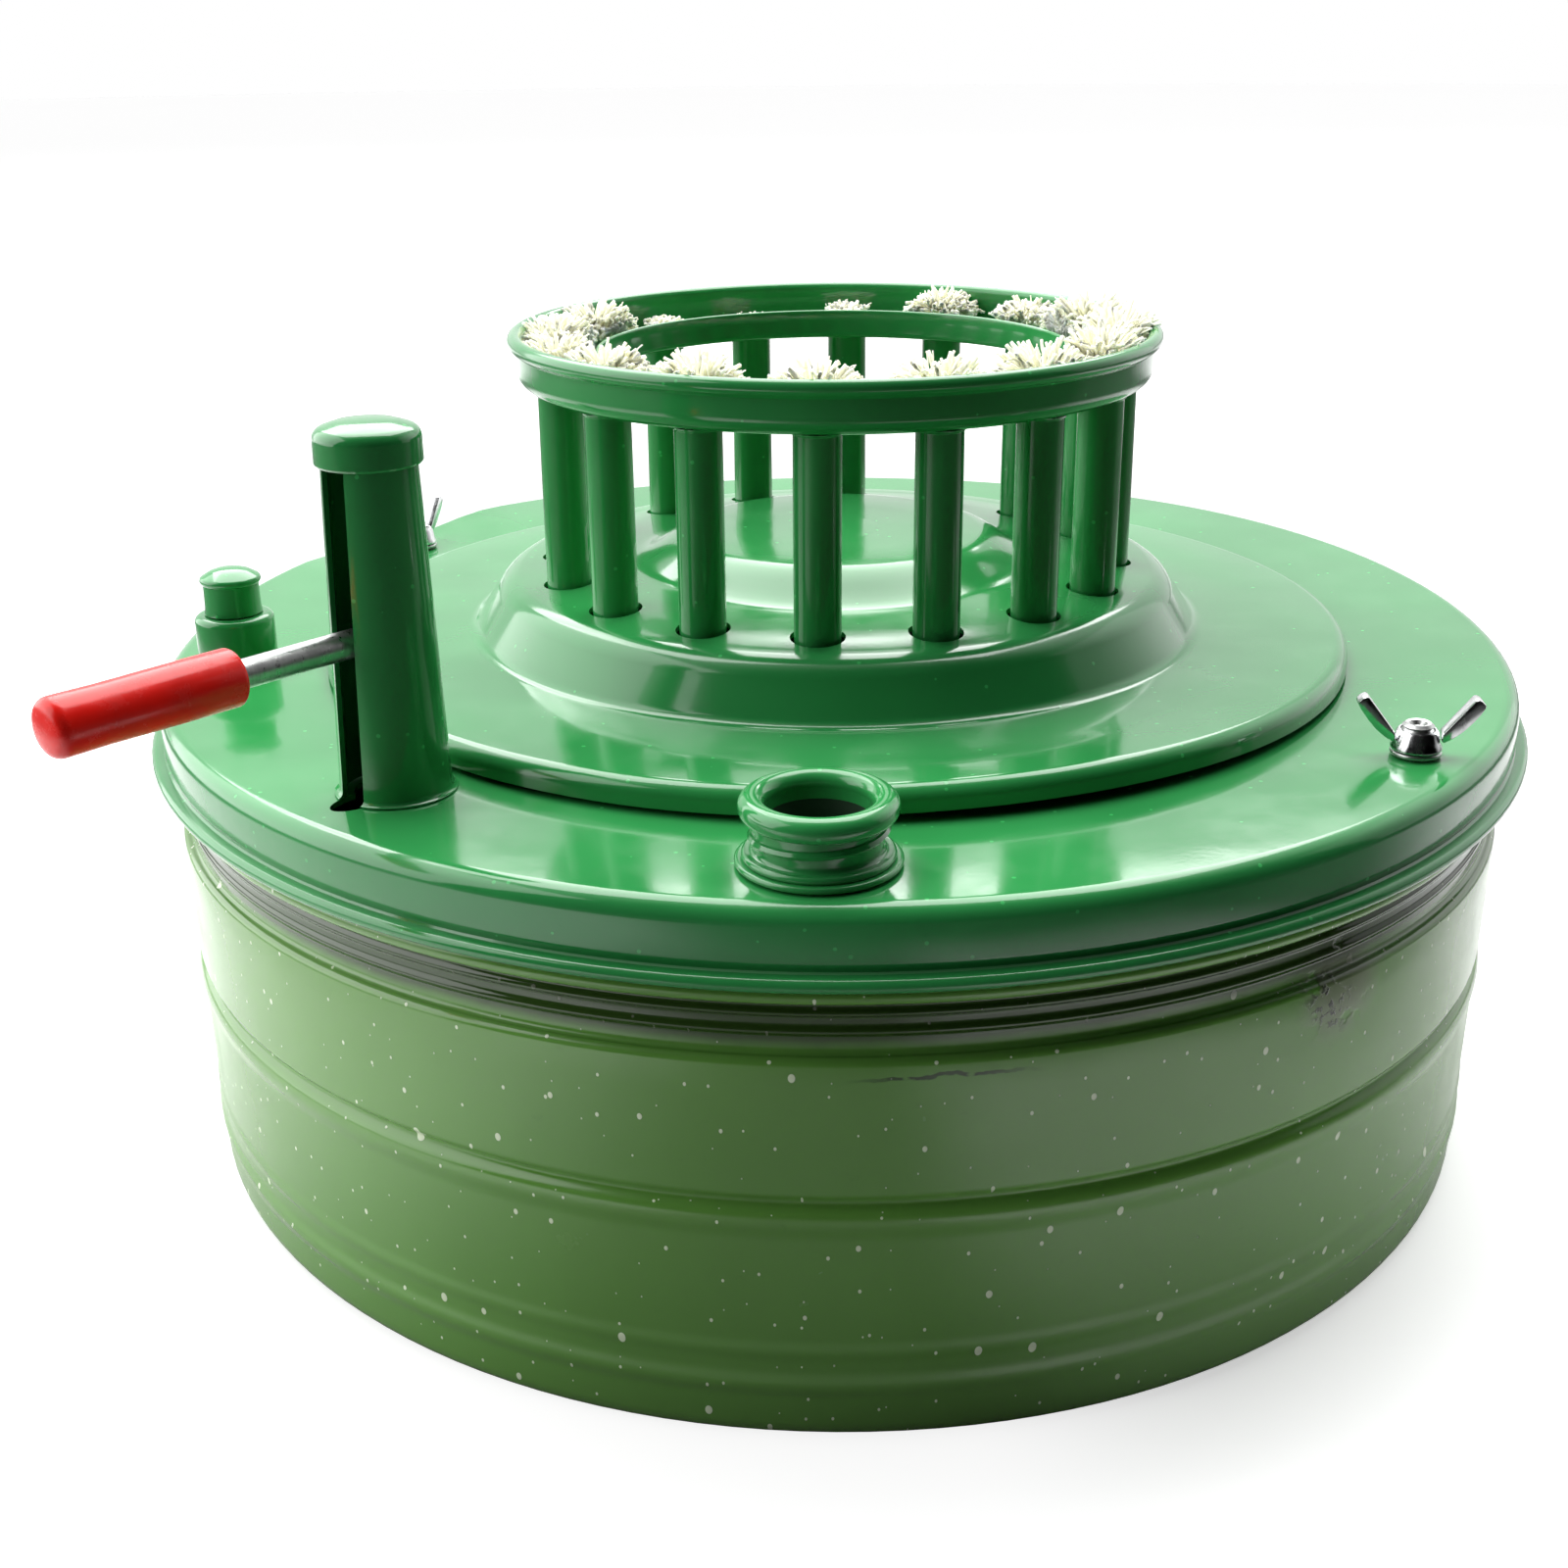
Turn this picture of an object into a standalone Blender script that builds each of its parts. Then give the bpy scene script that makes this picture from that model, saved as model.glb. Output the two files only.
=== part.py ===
"""Kerosene wick stove: a round fuel tank with a lift-off lid, a circle of wick tubes that
carries an annular wick trough, and a side lever that raises all the wicks together.

Metres, +Z up. The origin is the centre of the tank's flat base, and the front is -Y.
An azimuth is counted in degrees from the front towards the right (+X).
"""

import math

import bmesh
import bpy
from mathutils import Matrix, Vector

# Stock and working clearances
SHEET = 0.0010
CLEARANCE = 0.0003
OVERRUN = 0.0020
MERGE_DISTANCE = 0.00001

# Smoothness of the turned pieces
LARGE_SEGMENTS = 36
MIDDLE_SEGMENTS = 18
SMALL_SEGMENTS = 12
WICK_SEGMENTS = 10

# Lid, measured at its rolled edge
LID_RADIUS = 0.1466
LID_ROLL_REACH = 0.0026
LID_ROLL_HEIGHT = 0.0028
LID_DEPTH = 0.0128
LID_FILLET = 0.0034
LID_SLACK = 0.0027
LID_RIM_GAP = 0.0018

# Tank
TANK_BODY_HEIGHT = 0.0766
TANK_SHOULDER_WIDTH = 0.0020
TANK_SHOULDER_DROP = 0.0018
TANK_DRAFT = 0.0015
TANK_FOOT_FILLET = 0.0040
NECK_HEIGHT = 0.0096
RIM_BEAD_REACH = 0.0027
RIM_BEAD_HEIGHT = 0.0032
RIM_BEAD_CHAMFER = 0.0008
SEAM_HEIGHT = 0.0488
SEAM_DEPTH = 0.0011
SEAM_WIDTH = 0.0036
SEAM_BEAD_REACH = 0.0006
SEAM_BEAD_DROP = 0.0050
FOOT_BEAD_HEIGHT = 0.0120
FOOT_BEAD_REACH = 0.0006
FOOT_BEAD_WIDTH = 0.0030

# Wick tubes
TUBE_COUNT = 16
FIRST_TUBE_AZIMUTH = -3.1
TUBE_CIRCLE = 0.0589
TUBE_RADIUS = 0.0046
TUBE_WALL = 0.0010
TUBE_TAIL = 0.0080
BURNER_LIFT = 0.0572

# Domed burner plate that lies loosely on the lid
PLATE_LIFT = 0.0057
PLATE_INSET = 0.03425
PLATE_LIP = 0.0030
DOME_LIFT = 0.0123
DOME_MARGIN = 0.0041
DOME_WALL_SLOPE = 0.0040
DOME_FILLET = 0.0070
DISC_MARGIN = 0.01065
DISC_SLOPE = 0.0085
DISC_LIFT = 0.0062
DISC_FILLET = 0.0018
TUBE_HOLE_SLACK = 0.0007

# Wick trough
TROUGH_OUTER_MARGIN = 0.00305
TROUGH_INNER_MARGIN = 0.00525
TROUGH_DEPTH = 0.0106
TROUGH_INNER_DEPTH = 0.0064
TROUGH_FILLET = 0.0034
TROUGH_FILLET_SHARE = 0.3
TROUGH_BEAD_REACH = 0.0016
TROUGH_BEAD_HEIGHT = 0.0032

# Wicks and the ring that carries them
WICK_SLACK = 0.0004
WICK_TOP_DROP = 0.0005
WICK_CROWN = 0.0012
WICK_FLOOR_GAP = 0.0225
CARRIER_HEIGHT = 0.0610
CARRIER_SHEET = 0.0015
CARRIER_OUTER_MARGIN = 0.00845
CARRIER_INNER_MARGIN = 0.00565
CARRIER_FLANGE = 0.0050

# Lever post
POST_AZIMUTH = -40.2
POST_INSET = 0.0225
POST_FOOT_RADIUS = 0.0100
POST_TOP_RADIUS = 0.0079
POST_HEIGHT = 0.0624
POST_SLOT_WIDTH = 0.0060
POST_WELL_RADIUS = 0.0075
POST_WELL_REACH = 0.0040
CAP_DEPTH = 0.0075
CAP_FILLET = 0.0022
CAP_CROWN = 0.0012

# Lever and lifter
ROD_RADIUS = 0.0025
ROD_LIFT = 0.0287
ROD_TAIL = 0.0060
GRIP_START = 0.0305
GRIP_LENGTH = 0.0340
GRIP_RADIUS = 0.0050
GRIP_FILLET = 0.0018
GRIP_END_WALL = 0.0040
STRAP_WIDTH = 0.0080
STRAP_THICKNESS = 0.0020
STRAP_HEAD = 0.0065
NUT_RADIUS = 0.0042
NUT_HEIGHT = 0.0030
RIVET_RADIUS = 0.0014
RIVET_HEAD_RADIUS = 0.0026
RIVET_HEAD_HEIGHT = 0.0010
RIVET_EDGE = 0.0048
ARM_END = 0.0030

# Filler neck
FILLER_AZIMUTH = -1.2
FILLER_INSET = 0.0180
FILLER_BORE = 0.0083
FILLER_WALL = 0.0021
FILLER_HEIGHT = 0.0120
FILLER_RIM_REACH = 0.0009
FILLER_RIM_HEIGHT = 0.0022
FILLER_THREAD_REACH = 0.0008
FILLER_THREAD_HEIGHT = 0.0014
FILLER_FLANGE_REACH = 0.0028
FILLER_FLANGE_HEIGHT = 0.0010
FILLER_STEP_REACH = 0.0014
FILLER_STEP_HEIGHT = 0.0022

# Fuel gauge
GAUGE_AZIMUTH = -80.6
GAUGE_INSET = 0.0155
GAUGE_RADIUS = 0.0082
GAUGE_HEIGHT = 0.0112
GAUGE_FLANGE_REACH = 0.0014
GAUGE_FLANGE_HEIGHT = 0.0016
GAUGE_CHAMFER = 0.0014
GAUGE_CAP_RADIUS = 0.0058
GAUGE_CAP_HEIGHT = 0.0095
GAUGE_CAP_WALL = 0.0010
GAUGE_CAP_BEAD = 0.0005
GAUGE_CAP_BEAD_DROP = 0.0024
GUIDE_RADIUS = 0.0018
GUIDE_COLLAR_RADIUS = 0.0040
GUIDE_COLLAR_HEIGHT = 0.0020
GUIDE_FLOOR_GAP = 0.0060
FLOAT_RADIUS = 0.0056
FLOAT_HEIGHT = 0.0220
FLOAT_CHAMFER = 0.0012

# Lid fastenings: a bracket and a stud in the tank, a washer and a wing nut on the lid
STUD_AZIMUTHS = {"right": 54.4, "left": -125.5}
STUD_INSET = 0.0086
STUD_RADIUS = 0.0029
STUD_HEAD_RADIUS = 0.0050
STUD_HEAD_HEIGHT = 0.0036
STUD_HOLE_SLACK = 0.0005
STUD_STICKOUT = 0.0012
BRACKET_SHELF_DROP = 0.0045
BRACKET_SHEET = 0.0020
BRACKET_WIDTH = 0.0160
BRACKET_LEG = 0.0170
BRACKET_REACH = 0.0072
WASHER_RADIUS = 0.0066
WASHER_HEIGHT = 0.0010
NUT_HUB_FOOT_RADIUS = 0.0045
NUT_HUB_TOP_RADIUS = 0.0038
NUT_HUB_HEIGHT = 0.0036
WING_SPAN = 0.0122
WING_RISE = 0.0108
WING_THICKNESS = 0.0030
WING_CORNER_SHARES = [
    (0.96, 0.72),
    (1.00, 0.80),
    (0.84, 1.00),
    (0.76, 0.97),
]
WING_TURNS = {"right": 30.0, "left": 107.0}

# Radii that follow from the lid and the tubes
SKIRT_RADIUS = LID_RADIUS - LID_ROLL_REACH
NECK_RADIUS = SKIRT_RADIUS - SHEET - LID_SLACK
TANK_RADIUS = NECK_RADIUS + TANK_SHOULDER_WIDTH
TUBE_BORE = TUBE_RADIUS - TUBE_WALL
WICK_RADIUS = TUBE_BORE - WICK_SLACK
DOME_SHOULDER_RADIUS = TUBE_CIRCLE + TUBE_RADIUS + DOME_MARGIN
DOME_TOP_RADIUS = DOME_SHOULDER_RADIUS + DOME_FILLET
DOME_FOOT_RADIUS = DOME_TOP_RADIUS + DOME_WALL_SLOPE
PLATE_RADIUS = SKIRT_RADIUS - PLATE_INSET
DISC_FOOT_RADIUS = TUBE_CIRCLE - TUBE_RADIUS - DISC_MARGIN
DISC_RADIUS = DISC_FOOT_RADIUS - DISC_SLOPE
TROUGH_RADIUS = TUBE_CIRCLE + TUBE_RADIUS + TROUGH_OUTER_MARGIN
TROUGH_BORE = TUBE_CIRCLE - TUBE_RADIUS - TROUGH_INNER_MARGIN
CARRIER_RADIUS = TUBE_CIRCLE + TUBE_RADIUS + CARRIER_OUTER_MARGIN
CARRIER_BORE = TUBE_CIRCLE - TUBE_RADIUS - CARRIER_INNER_MARGIN
POST_CIRCLE = SKIRT_RADIUS - POST_INSET
FILLER_CIRCLE = SKIRT_RADIUS - FILLER_INSET
FILLER_RADIUS = FILLER_BORE + FILLER_WALL
GAUGE_CIRCLE = SKIRT_RADIUS - GAUGE_INSET
STUD_CIRCLE = NECK_RADIUS - STUD_INSET

# Heights that follow, from the base up
TANK_FLOOR = SHEET
RIM_BASE = TANK_BODY_HEIGHT + NECK_HEIGHT
RIM_TOP = RIM_BASE + RIM_BEAD_HEIGHT
LID_EDGE = RIM_TOP + LID_RIM_GAP
LID_TOP = LID_EDGE + LID_DEPTH
LID_UNDERSIDE = LID_TOP - SHEET
ON_LID = LID_TOP + CLEARANCE
PLATE_TOP = LID_TOP + PLATE_LIFT
DOME_TOP = PLATE_TOP + DOME_LIFT
DISC_TOP = DOME_TOP + DISC_LIFT
TROUGH_BASE = LID_TOP + BURNER_LIFT
TROUGH_TOP = TROUGH_BASE + TROUGH_DEPTH
WICK_TOP = TROUGH_TOP - WICK_TOP_DROP
WICK_BASE = TANK_FLOOR + WICK_FLOOR_GAP
CARRIER_TOP = CARRIER_HEIGHT + CARRIER_SHEET
ARM_BASE = CARRIER_TOP + CLEARANCE
ROD_HEIGHT = LID_TOP + ROD_LIFT
POST_TOP = ON_LID + POST_HEIGHT
CAP_TOP = POST_TOP + CLEARANCE + CAP_FILLET + CAP_CROWN
SHELF_TOP = TANK_BODY_HEIGHT - BRACKET_SHELF_DROP
WASHER_BASE = ON_LID
WING_NUT_BASE = WASHER_BASE + WASHER_HEIGHT + CLEARANCE
STUD_TOP = WING_NUT_BASE + NUT_HUB_HEIGHT + STUD_STICKOUT
GAUGE_TOP = ON_LID + GAUGE_HEIGHT
GUIDE_TOP = GAUGE_TOP + CLEARANCE + GUIDE_COLLAR_HEIGHT
GUIDE_BASE = TANK_FLOOR + GUIDE_FLOOR_GAP
FLOAT_BASE = GUIDE_BASE + GUIDE_COLLAR_HEIGHT + CLEARANCE


def clear_scene():
    """Remove every object that the file opens with."""
    for item in list(bpy.data.objects):
        bpy.data.objects.remove(item, do_unlink=True)


def make_collection(name):
    """A new collection under the scene's own."""
    group = bpy.data.collections.new(name)
    bpy.context.scene.collection.children.link(group)
    return group


def make_material(name, colour, roughness, metallic=0.0):
    """A plain Principled material."""
    finish = bpy.data.materials.new(name)
    finish.use_nodes = True
    shader = finish.node_tree.nodes["Principled BSDF"]
    shader.inputs["Base Color"].default_value = (*colour, 1.0)
    shader.inputs["Roughness"].default_value = roughness
    shader.inputs["Metallic"].default_value = metallic
    finish.diffuse_color = (*colour, 1.0)
    return finish


def polar(radius, azimuth, height=0.0):
    """The point at a radius and an azimuth, at a height."""
    angle = math.radians(azimuth)
    return Vector((radius * math.sin(angle), -radius * math.cos(angle), height))


def facing(azimuth):
    """The turn about Z that points a piece's +X along an azimuth."""
    return math.radians(azimuth - 90.0)


def arc(centre, radius, start, end, steps):
    """Points along a round corner of a profile, from one angle in degrees to another."""
    points = []
    for step in range(steps + 1):
        angle = math.radians(start + (end - start) * step / steps)
        points.append((centre[0] + radius * math.cos(angle), centre[1] + radius * math.sin(angle)))
    return points


def offset_path(path, distance):
    """A path moved to the right of its own direction, with mitred corners."""
    runs = [Vector(after) - Vector(before) for before, after in zip(path, path[1:])]
    sides = [Vector((run.y, -run.x)).normalized() for run in runs]
    moved = []
    for index, point in enumerate(path):
        first = sides[max(index - 1, 0)]
        second = sides[min(index, len(sides) - 1)]
        mitre = (first + second).normalized()
        if point[0] == 0.0:
            mitre = Vector((0.0, 1.0))
        shift = mitre * (distance / mitre.dot(first))
        moved.append((point[0] + shift.x, point[1] + shift.y))
    return moved


def sheet_profile(path, thickness=SHEET):
    """The section of a sheet whose outer face follows the path."""
    inside = offset_path(path, thickness)[::-1]
    if path[-1][0] == 0.0:
        return inside + path
    return path + inside


def add_object(name, mesh, finish, group, at=(0.0, 0.0, 0.0), turn=0.0, parent=None):
    """An object for a mesh, placed, linked and parented."""
    obj = bpy.data.objects.new(name, mesh)
    group.objects.link(obj)
    obj.location = at
    obj.rotation_euler.z = turn
    if finish is not None:
        mesh.materials.append(finish)
    if parent is not None:
        obj.parent = parent
        obj.matrix_parent_inverse = Matrix.Translation(parent.location).inverted()
    return obj


def turned(name, profile, segments, finish, group, **placing):
    """A turned piece. Its profile runs down the outer side, and closes unless it ends on the axis."""
    count = len(profile)
    edges = [(index, index + 1) for index in range(count - 1)]
    if profile[0][0] > 0.0:
        edges.append((count - 1, 0))
    mesh = bpy.data.meshes.new(name)
    mesh.from_pydata([(radius, 0.0, height) for radius, height in profile], edges, [])
    obj = add_object(name, mesh, finish, group, **placing)
    screw = obj.modifiers.new("Turn", "SCREW")
    screw.axis = "Z"
    screw.steps = segments
    screw.render_steps = segments
    screw.use_merge_vertices = True
    screw.merge_threshold = MERGE_DISTANCE
    screw.use_smooth_shade = True
    return obj


def ring_profile(inner, outer, low, high):
    """A washer-like section."""
    return [(inner, high), (outer, high), (outer, low), (inner, low)]


def rod_profile(radius, low, high):
    """A plain round bar on the axis."""
    return [(0.0, high), (radius, high), (radius, low), (0.0, low)]


def box_mesh(name, low, high):
    """A block between two corners."""
    low = Vector(low)
    high = Vector(high)
    size = high - low
    shape = bmesh.new()
    fit = Matrix.Translation((low + high) / 2) @ Matrix.Diagonal((size.x, size.y, size.z, 1.0))
    bmesh.ops.create_cube(shape, size=1.0, matrix=fit)
    mesh = bpy.data.meshes.new(name)
    shape.to_mesh(mesh)
    shape.free()
    return mesh


def plug_mesh(name, spots, radius, low, high, segments):
    """Upright cylinders of one radius at several places, from one height to another."""
    shape = bmesh.new()
    for spot in spots:
        place = Matrix.Translation((spot[0], spot[1], (low + high) / 2))
        bmesh.ops.create_cone(shape, cap_ends=True, segments=segments, radius1=radius,
                              radius2=radius, depth=high - low, matrix=place)
    mesh = bpy.data.meshes.new(name)
    shape.to_mesh(mesh)
    shape.free()
    return mesh


def outline_mesh(name, outline, thickness):
    """A flat outline in the XZ plane, made thick along Y."""
    curve = bpy.data.curves.new(name, "CURVE")
    curve.dimensions = "2D"
    curve.fill_mode = "BOTH"
    curve.extrude = thickness / 2
    spline = curve.splines.new("POLY")
    spline.points.add(len(outline) - 1)
    for point, (across, up) in zip(spline.points, outline):
        point.co = (across, up, 0.0, 1.0)
    spline.use_cyclic_u = True
    holder = bpy.data.objects.new(name, curve)
    bpy.context.scene.collection.objects.link(holder)
    bpy.context.view_layer.update()
    evaluated = holder.evaluated_get(bpy.context.evaluated_depsgraph_get())
    mesh = bpy.data.meshes.new_from_object(evaluated)
    mesh.transform(Matrix.Rotation(math.pi / 2, 4, "X"))
    shape = bmesh.new()
    shape.from_mesh(mesh)
    bmesh.ops.remove_doubles(shape, verts=shape.verts, dist=MERGE_DISTANCE)
    bmesh.ops.recalc_face_normals(shape, faces=shape.faces)
    shape.to_mesh(mesh)
    shape.free()
    bpy.data.objects.remove(holder, do_unlink=True)
    mesh.name = name
    return mesh


def combine(obj, tool, operation):
    """Cut a tool out of a piece, or join it on."""
    tool.hide_render = True
    tool.display_type = "WIRE"
    change = obj.modifiers.new(tool.name, "BOOLEAN")
    change.operation = operation
    change.solver = "EXACT"
    change.object = tool


def tube_azimuths():
    """The azimuth of each wick tube."""
    return [FIRST_TUBE_AZIMUTH + index * 360.0 / TUBE_COUNT for index in range(TUBE_COUNT)]


def tube_spots():
    """The centre of each wick tube."""
    return [polar(TUBE_CIRCLE, azimuth) for azimuth in tube_azimuths()]


def wall_radius(height):
    """The outer radius of the tank's drawn wall at a height."""
    return TANK_RADIUS - TANK_DRAFT * (1.0 - height / TANK_BODY_HEIGHT)


def build_tank(stage):
    """Drawn tank with a rim bead, a neck, a rounded shoulder, a seam groove and a foot bead."""
    bead_radius = NECK_RADIUS + RIM_BEAD_REACH
    path = [
        (NECK_RADIUS, LID_UNDERSIDE - CLEARANCE),
        (NECK_RADIUS, RIM_TOP),
        (bead_radius - RIM_BEAD_CHAMFER, RIM_TOP),
        (bead_radius, RIM_TOP - RIM_BEAD_CHAMFER),
        (bead_radius, RIM_BASE + RIM_BEAD_CHAMFER),
        (bead_radius - RIM_BEAD_CHAMFER, RIM_BASE),
        (NECK_RADIUS, RIM_BASE),
        (NECK_RADIUS, TANK_BODY_HEIGHT),
    ]
    centre = (TANK_RADIUS - TANK_SHOULDER_DROP, TANK_BODY_HEIGHT - TANK_SHOULDER_DROP)
    path += arc(centre, TANK_SHOULDER_DROP, 70.0, 0.0, 2)
    seam_top = SEAM_HEIGHT + SEAM_WIDTH / 2
    seam_base = SEAM_HEIGHT - SEAM_WIDTH / 2
    bead_base = seam_base - SEAM_BEAD_DROP
    path += [
        (wall_radius(seam_top), seam_top),
        (wall_radius(SEAM_HEIGHT) - SEAM_DEPTH, SEAM_HEIGHT),
        (wall_radius(seam_base) + SEAM_BEAD_REACH, seam_base),
        (wall_radius(bead_base), bead_base),
        (wall_radius(FOOT_BEAD_HEIGHT), FOOT_BEAD_HEIGHT + FOOT_BEAD_WIDTH / 2),
        (wall_radius(FOOT_BEAD_HEIGHT) + FOOT_BEAD_REACH, FOOT_BEAD_HEIGHT),
        (wall_radius(FOOT_BEAD_HEIGHT), FOOT_BEAD_HEIGHT - FOOT_BEAD_WIDTH / 2),
    ]
    foot_radius = wall_radius(TANK_FOOT_FILLET)
    path += arc((foot_radius - TANK_FOOT_FILLET, TANK_FOOT_FILLET), TANK_FOOT_FILLET, 0.0, -90.0, 2)
    path.append((0.0, 0.0))
    turned("tank_basin", sheet_profile(path), LARGE_SEGMENTS, stage.tank_enamel, stage.parts)


def build_bracket(stage, side, azimuth):
    """An angle bracket against the tank's wall and the stud that stands on it."""
    flats = math.cos(math.pi / LARGE_SEGMENTS)
    leg_base = SHELF_TOP - BRACKET_LEG
    inside = (wall_radius(leg_base) - SHEET) * flats - CLEARANCE
    back = math.sqrt(inside ** 2 - (BRACKET_WIDTH / 2) ** 2) - STUD_CIRCLE
    front = -BRACKET_REACH
    outline = [
        (front, SHELF_TOP),
        (back, SHELF_TOP),
        (back, leg_base),
        (back - BRACKET_SHEET, leg_base),
        (back - BRACKET_SHEET, SHELF_TOP - BRACKET_SHEET),
        (front, SHELF_TOP - BRACKET_SHEET),
    ]
    placing = {"at": polar(STUD_CIRCLE, azimuth), "turn": facing(azimuth)}
    mesh = outline_mesh("stud_bracket_" + side, outline, BRACKET_WIDTH)
    bracket = add_object("stud_bracket_" + side, mesh, stage.steel, stage.parts, **placing)
    hole = turned("bracket_hole_" + side,
                  rod_profile(STUD_RADIUS + CLEARANCE, SHELF_TOP - BRACKET_SHEET - OVERRUN,
                              SHELF_TOP + OVERRUN),
                  SMALL_SEGMENTS, None, stage.cutters, **placing)
    combine(bracket, hole, "DIFFERENCE")
    head_top = SHELF_TOP - BRACKET_SHEET - CLEARANCE
    profile = [
        (0.0, STUD_TOP),
        (STUD_RADIUS, STUD_TOP),
        (STUD_RADIUS, head_top),
        (STUD_HEAD_RADIUS, head_top),
        (STUD_HEAD_RADIUS, head_top - STUD_HEAD_HEIGHT),
        (0.0, head_top - STUD_HEAD_HEIGHT),
    ]
    turned("lid_stud_" + side, profile, SMALL_SEGMENTS, stage.zinc, stage.parts, **placing)


def build_lid(stage):
    """Flat lid with a rounded shoulder, an upright skirt and a rolled edge."""
    roll = LID_ROLL_HEIGHT / 2
    roll_centre = (LID_RADIUS - roll, LID_EDGE + roll)
    path = [(0.0, LID_TOP)]
    path += arc((SKIRT_RADIUS - LID_FILLET, LID_TOP - LID_FILLET), LID_FILLET, 90.0, 0.0, 2)
    path.append((SKIRT_RADIUS, LID_EDGE + LID_ROLL_HEIGHT))
    path += arc(roll_centre, roll, 60.0, -90.0, 3)
    lid = turned("tank_lid", sheet_profile(path), LARGE_SEGMENTS, stage.lid_enamel, stage.parts,
                 parent=stage.lid_group)
    low = LID_UNDERSIDE - OVERRUN
    high = LID_TOP + OVERRUN
    holes = {
        "lid_tube_holes": (tube_spots(), TUBE_RADIUS + CLEARANCE, SMALL_SEGMENTS),
        "lid_filler_hole": ([polar(FILLER_CIRCLE, FILLER_AZIMUTH)], FILLER_BORE, MIDDLE_SEGMENTS),
        "lid_gauge_hole": ([polar(GAUGE_CIRCLE, GAUGE_AZIMUTH)], GUIDE_COLLAR_RADIUS,
                           SMALL_SEGMENTS),
        "lid_post_hole": ([polar(POST_CIRCLE, POST_AZIMUTH)], POST_WELL_RADIUS, MIDDLE_SEGMENTS),
        "lid_stud_holes": ([polar(STUD_CIRCLE, azimuth) for azimuth in STUD_AZIMUTHS.values()],
                           STUD_RADIUS + STUD_HOLE_SLACK, SMALL_SEGMENTS),
    }
    for name, (spots, radius, segments) in holes.items():
        mesh = plug_mesh(name, spots, radius, low, high, segments)
        combine(lid, add_object(name, mesh, None, stage.cutters), "DIFFERENCE")
    reach = POST_FOOT_RADIUS + POST_WELL_REACH
    half = POST_SLOT_WIDTH / 2
    mesh = box_mesh("lid_rod_notch", (0.0, -half, low), (reach, half, high))
    notch = add_object("lid_rod_notch", mesh, None, stage.cutters,
                       at=polar(POST_CIRCLE, POST_AZIMUTH), turn=facing(POST_AZIMUTH))
    combine(lid, notch, "DIFFERENCE")


def build_burner_plate(stage):
    """Round plate with a turned-down edge, a pierced dome and a raised disc in the middle."""
    lip = PLATE_LIP
    path = [(0.0, DISC_TOP)]
    path += [
        (DISC_RADIUS - DISC_FILLET, DISC_TOP),
        (DISC_RADIUS + DISC_FILLET, DISC_TOP - DISC_FILLET / 2),
        (DISC_FOOT_RADIUS - DISC_FILLET, DOME_TOP + DISC_FILLET / 2),
        (DISC_FOOT_RADIUS + DISC_FILLET, DOME_TOP),
    ]
    path += arc((DOME_SHOULDER_RADIUS, DOME_TOP - DOME_FILLET), DOME_FILLET, 90.0, 10.0, 2)
    path += [
        (DOME_FOOT_RADIUS - SHEET, PLATE_TOP + DOME_FILLET / 2),
        (DOME_FOOT_RADIUS + DOME_FILLET / 2, PLATE_TOP),
    ]
    path += arc((PLATE_RADIUS - lip, PLATE_TOP - lip), lip, 90.0, 0.0, 2)
    path.append((PLATE_RADIUS, ON_LID))
    plate = turned("burner_plate", sheet_profile(path), LARGE_SEGMENTS, stage.lid_enamel,
                   stage.parts, parent=stage.lid_group)
    mesh = plug_mesh("dome_holes", tube_spots(), TUBE_RADIUS + TUBE_HOLE_SLACK,
                     DOME_TOP - SHEET - OVERRUN, DOME_TOP + OVERRUN, SMALL_SEGMENTS)
    combine(plate, add_object("dome_holes", mesh, None, stage.cutters), "DIFFERENCE")


def build_wick_trough(stage):
    """Annular trough with a beaded outer wall, a lower inner wall and a hole over each tube."""
    bead = TROUGH_BEAD_HEIGHT / 2
    bead_centre = (TROUGH_RADIUS + TROUGH_BEAD_REACH - bead, TROUGH_TOP - bead)
    path = arc(bead_centre, bead, 90.0, -60.0, 2)
    path += [
        (TROUGH_RADIUS, TROUGH_TOP - TROUGH_BEAD_HEIGHT),
        (TROUGH_RADIUS, TROUGH_BASE + TROUGH_FILLET),
        (TROUGH_RADIUS - TROUGH_FILLET * TROUGH_FILLET_SHARE,
         TROUGH_BASE + TROUGH_FILLET * TROUGH_FILLET_SHARE),
        (TROUGH_RADIUS - TROUGH_FILLET, TROUGH_BASE),
        (TROUGH_BORE + SHEET, TROUGH_BASE),
        (TROUGH_BORE, TROUGH_BASE + SHEET),
        (TROUGH_BORE, TROUGH_BASE + TROUGH_INNER_DEPTH),
    ]
    trough = turned("wick_trough", sheet_profile(path), LARGE_SEGMENTS, stage.lid_enamel,
                    stage.parts, parent=stage.lid_group)
    mesh = plug_mesh("trough_holes", tube_spots(), TUBE_BORE, TROUGH_BASE - OVERRUN,
                     TROUGH_BASE + SHEET + OVERRUN, SMALL_SEGMENTS)
    combine(trough, add_object("trough_holes", mesh, None, stage.cutters), "DIFFERENCE")


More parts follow.
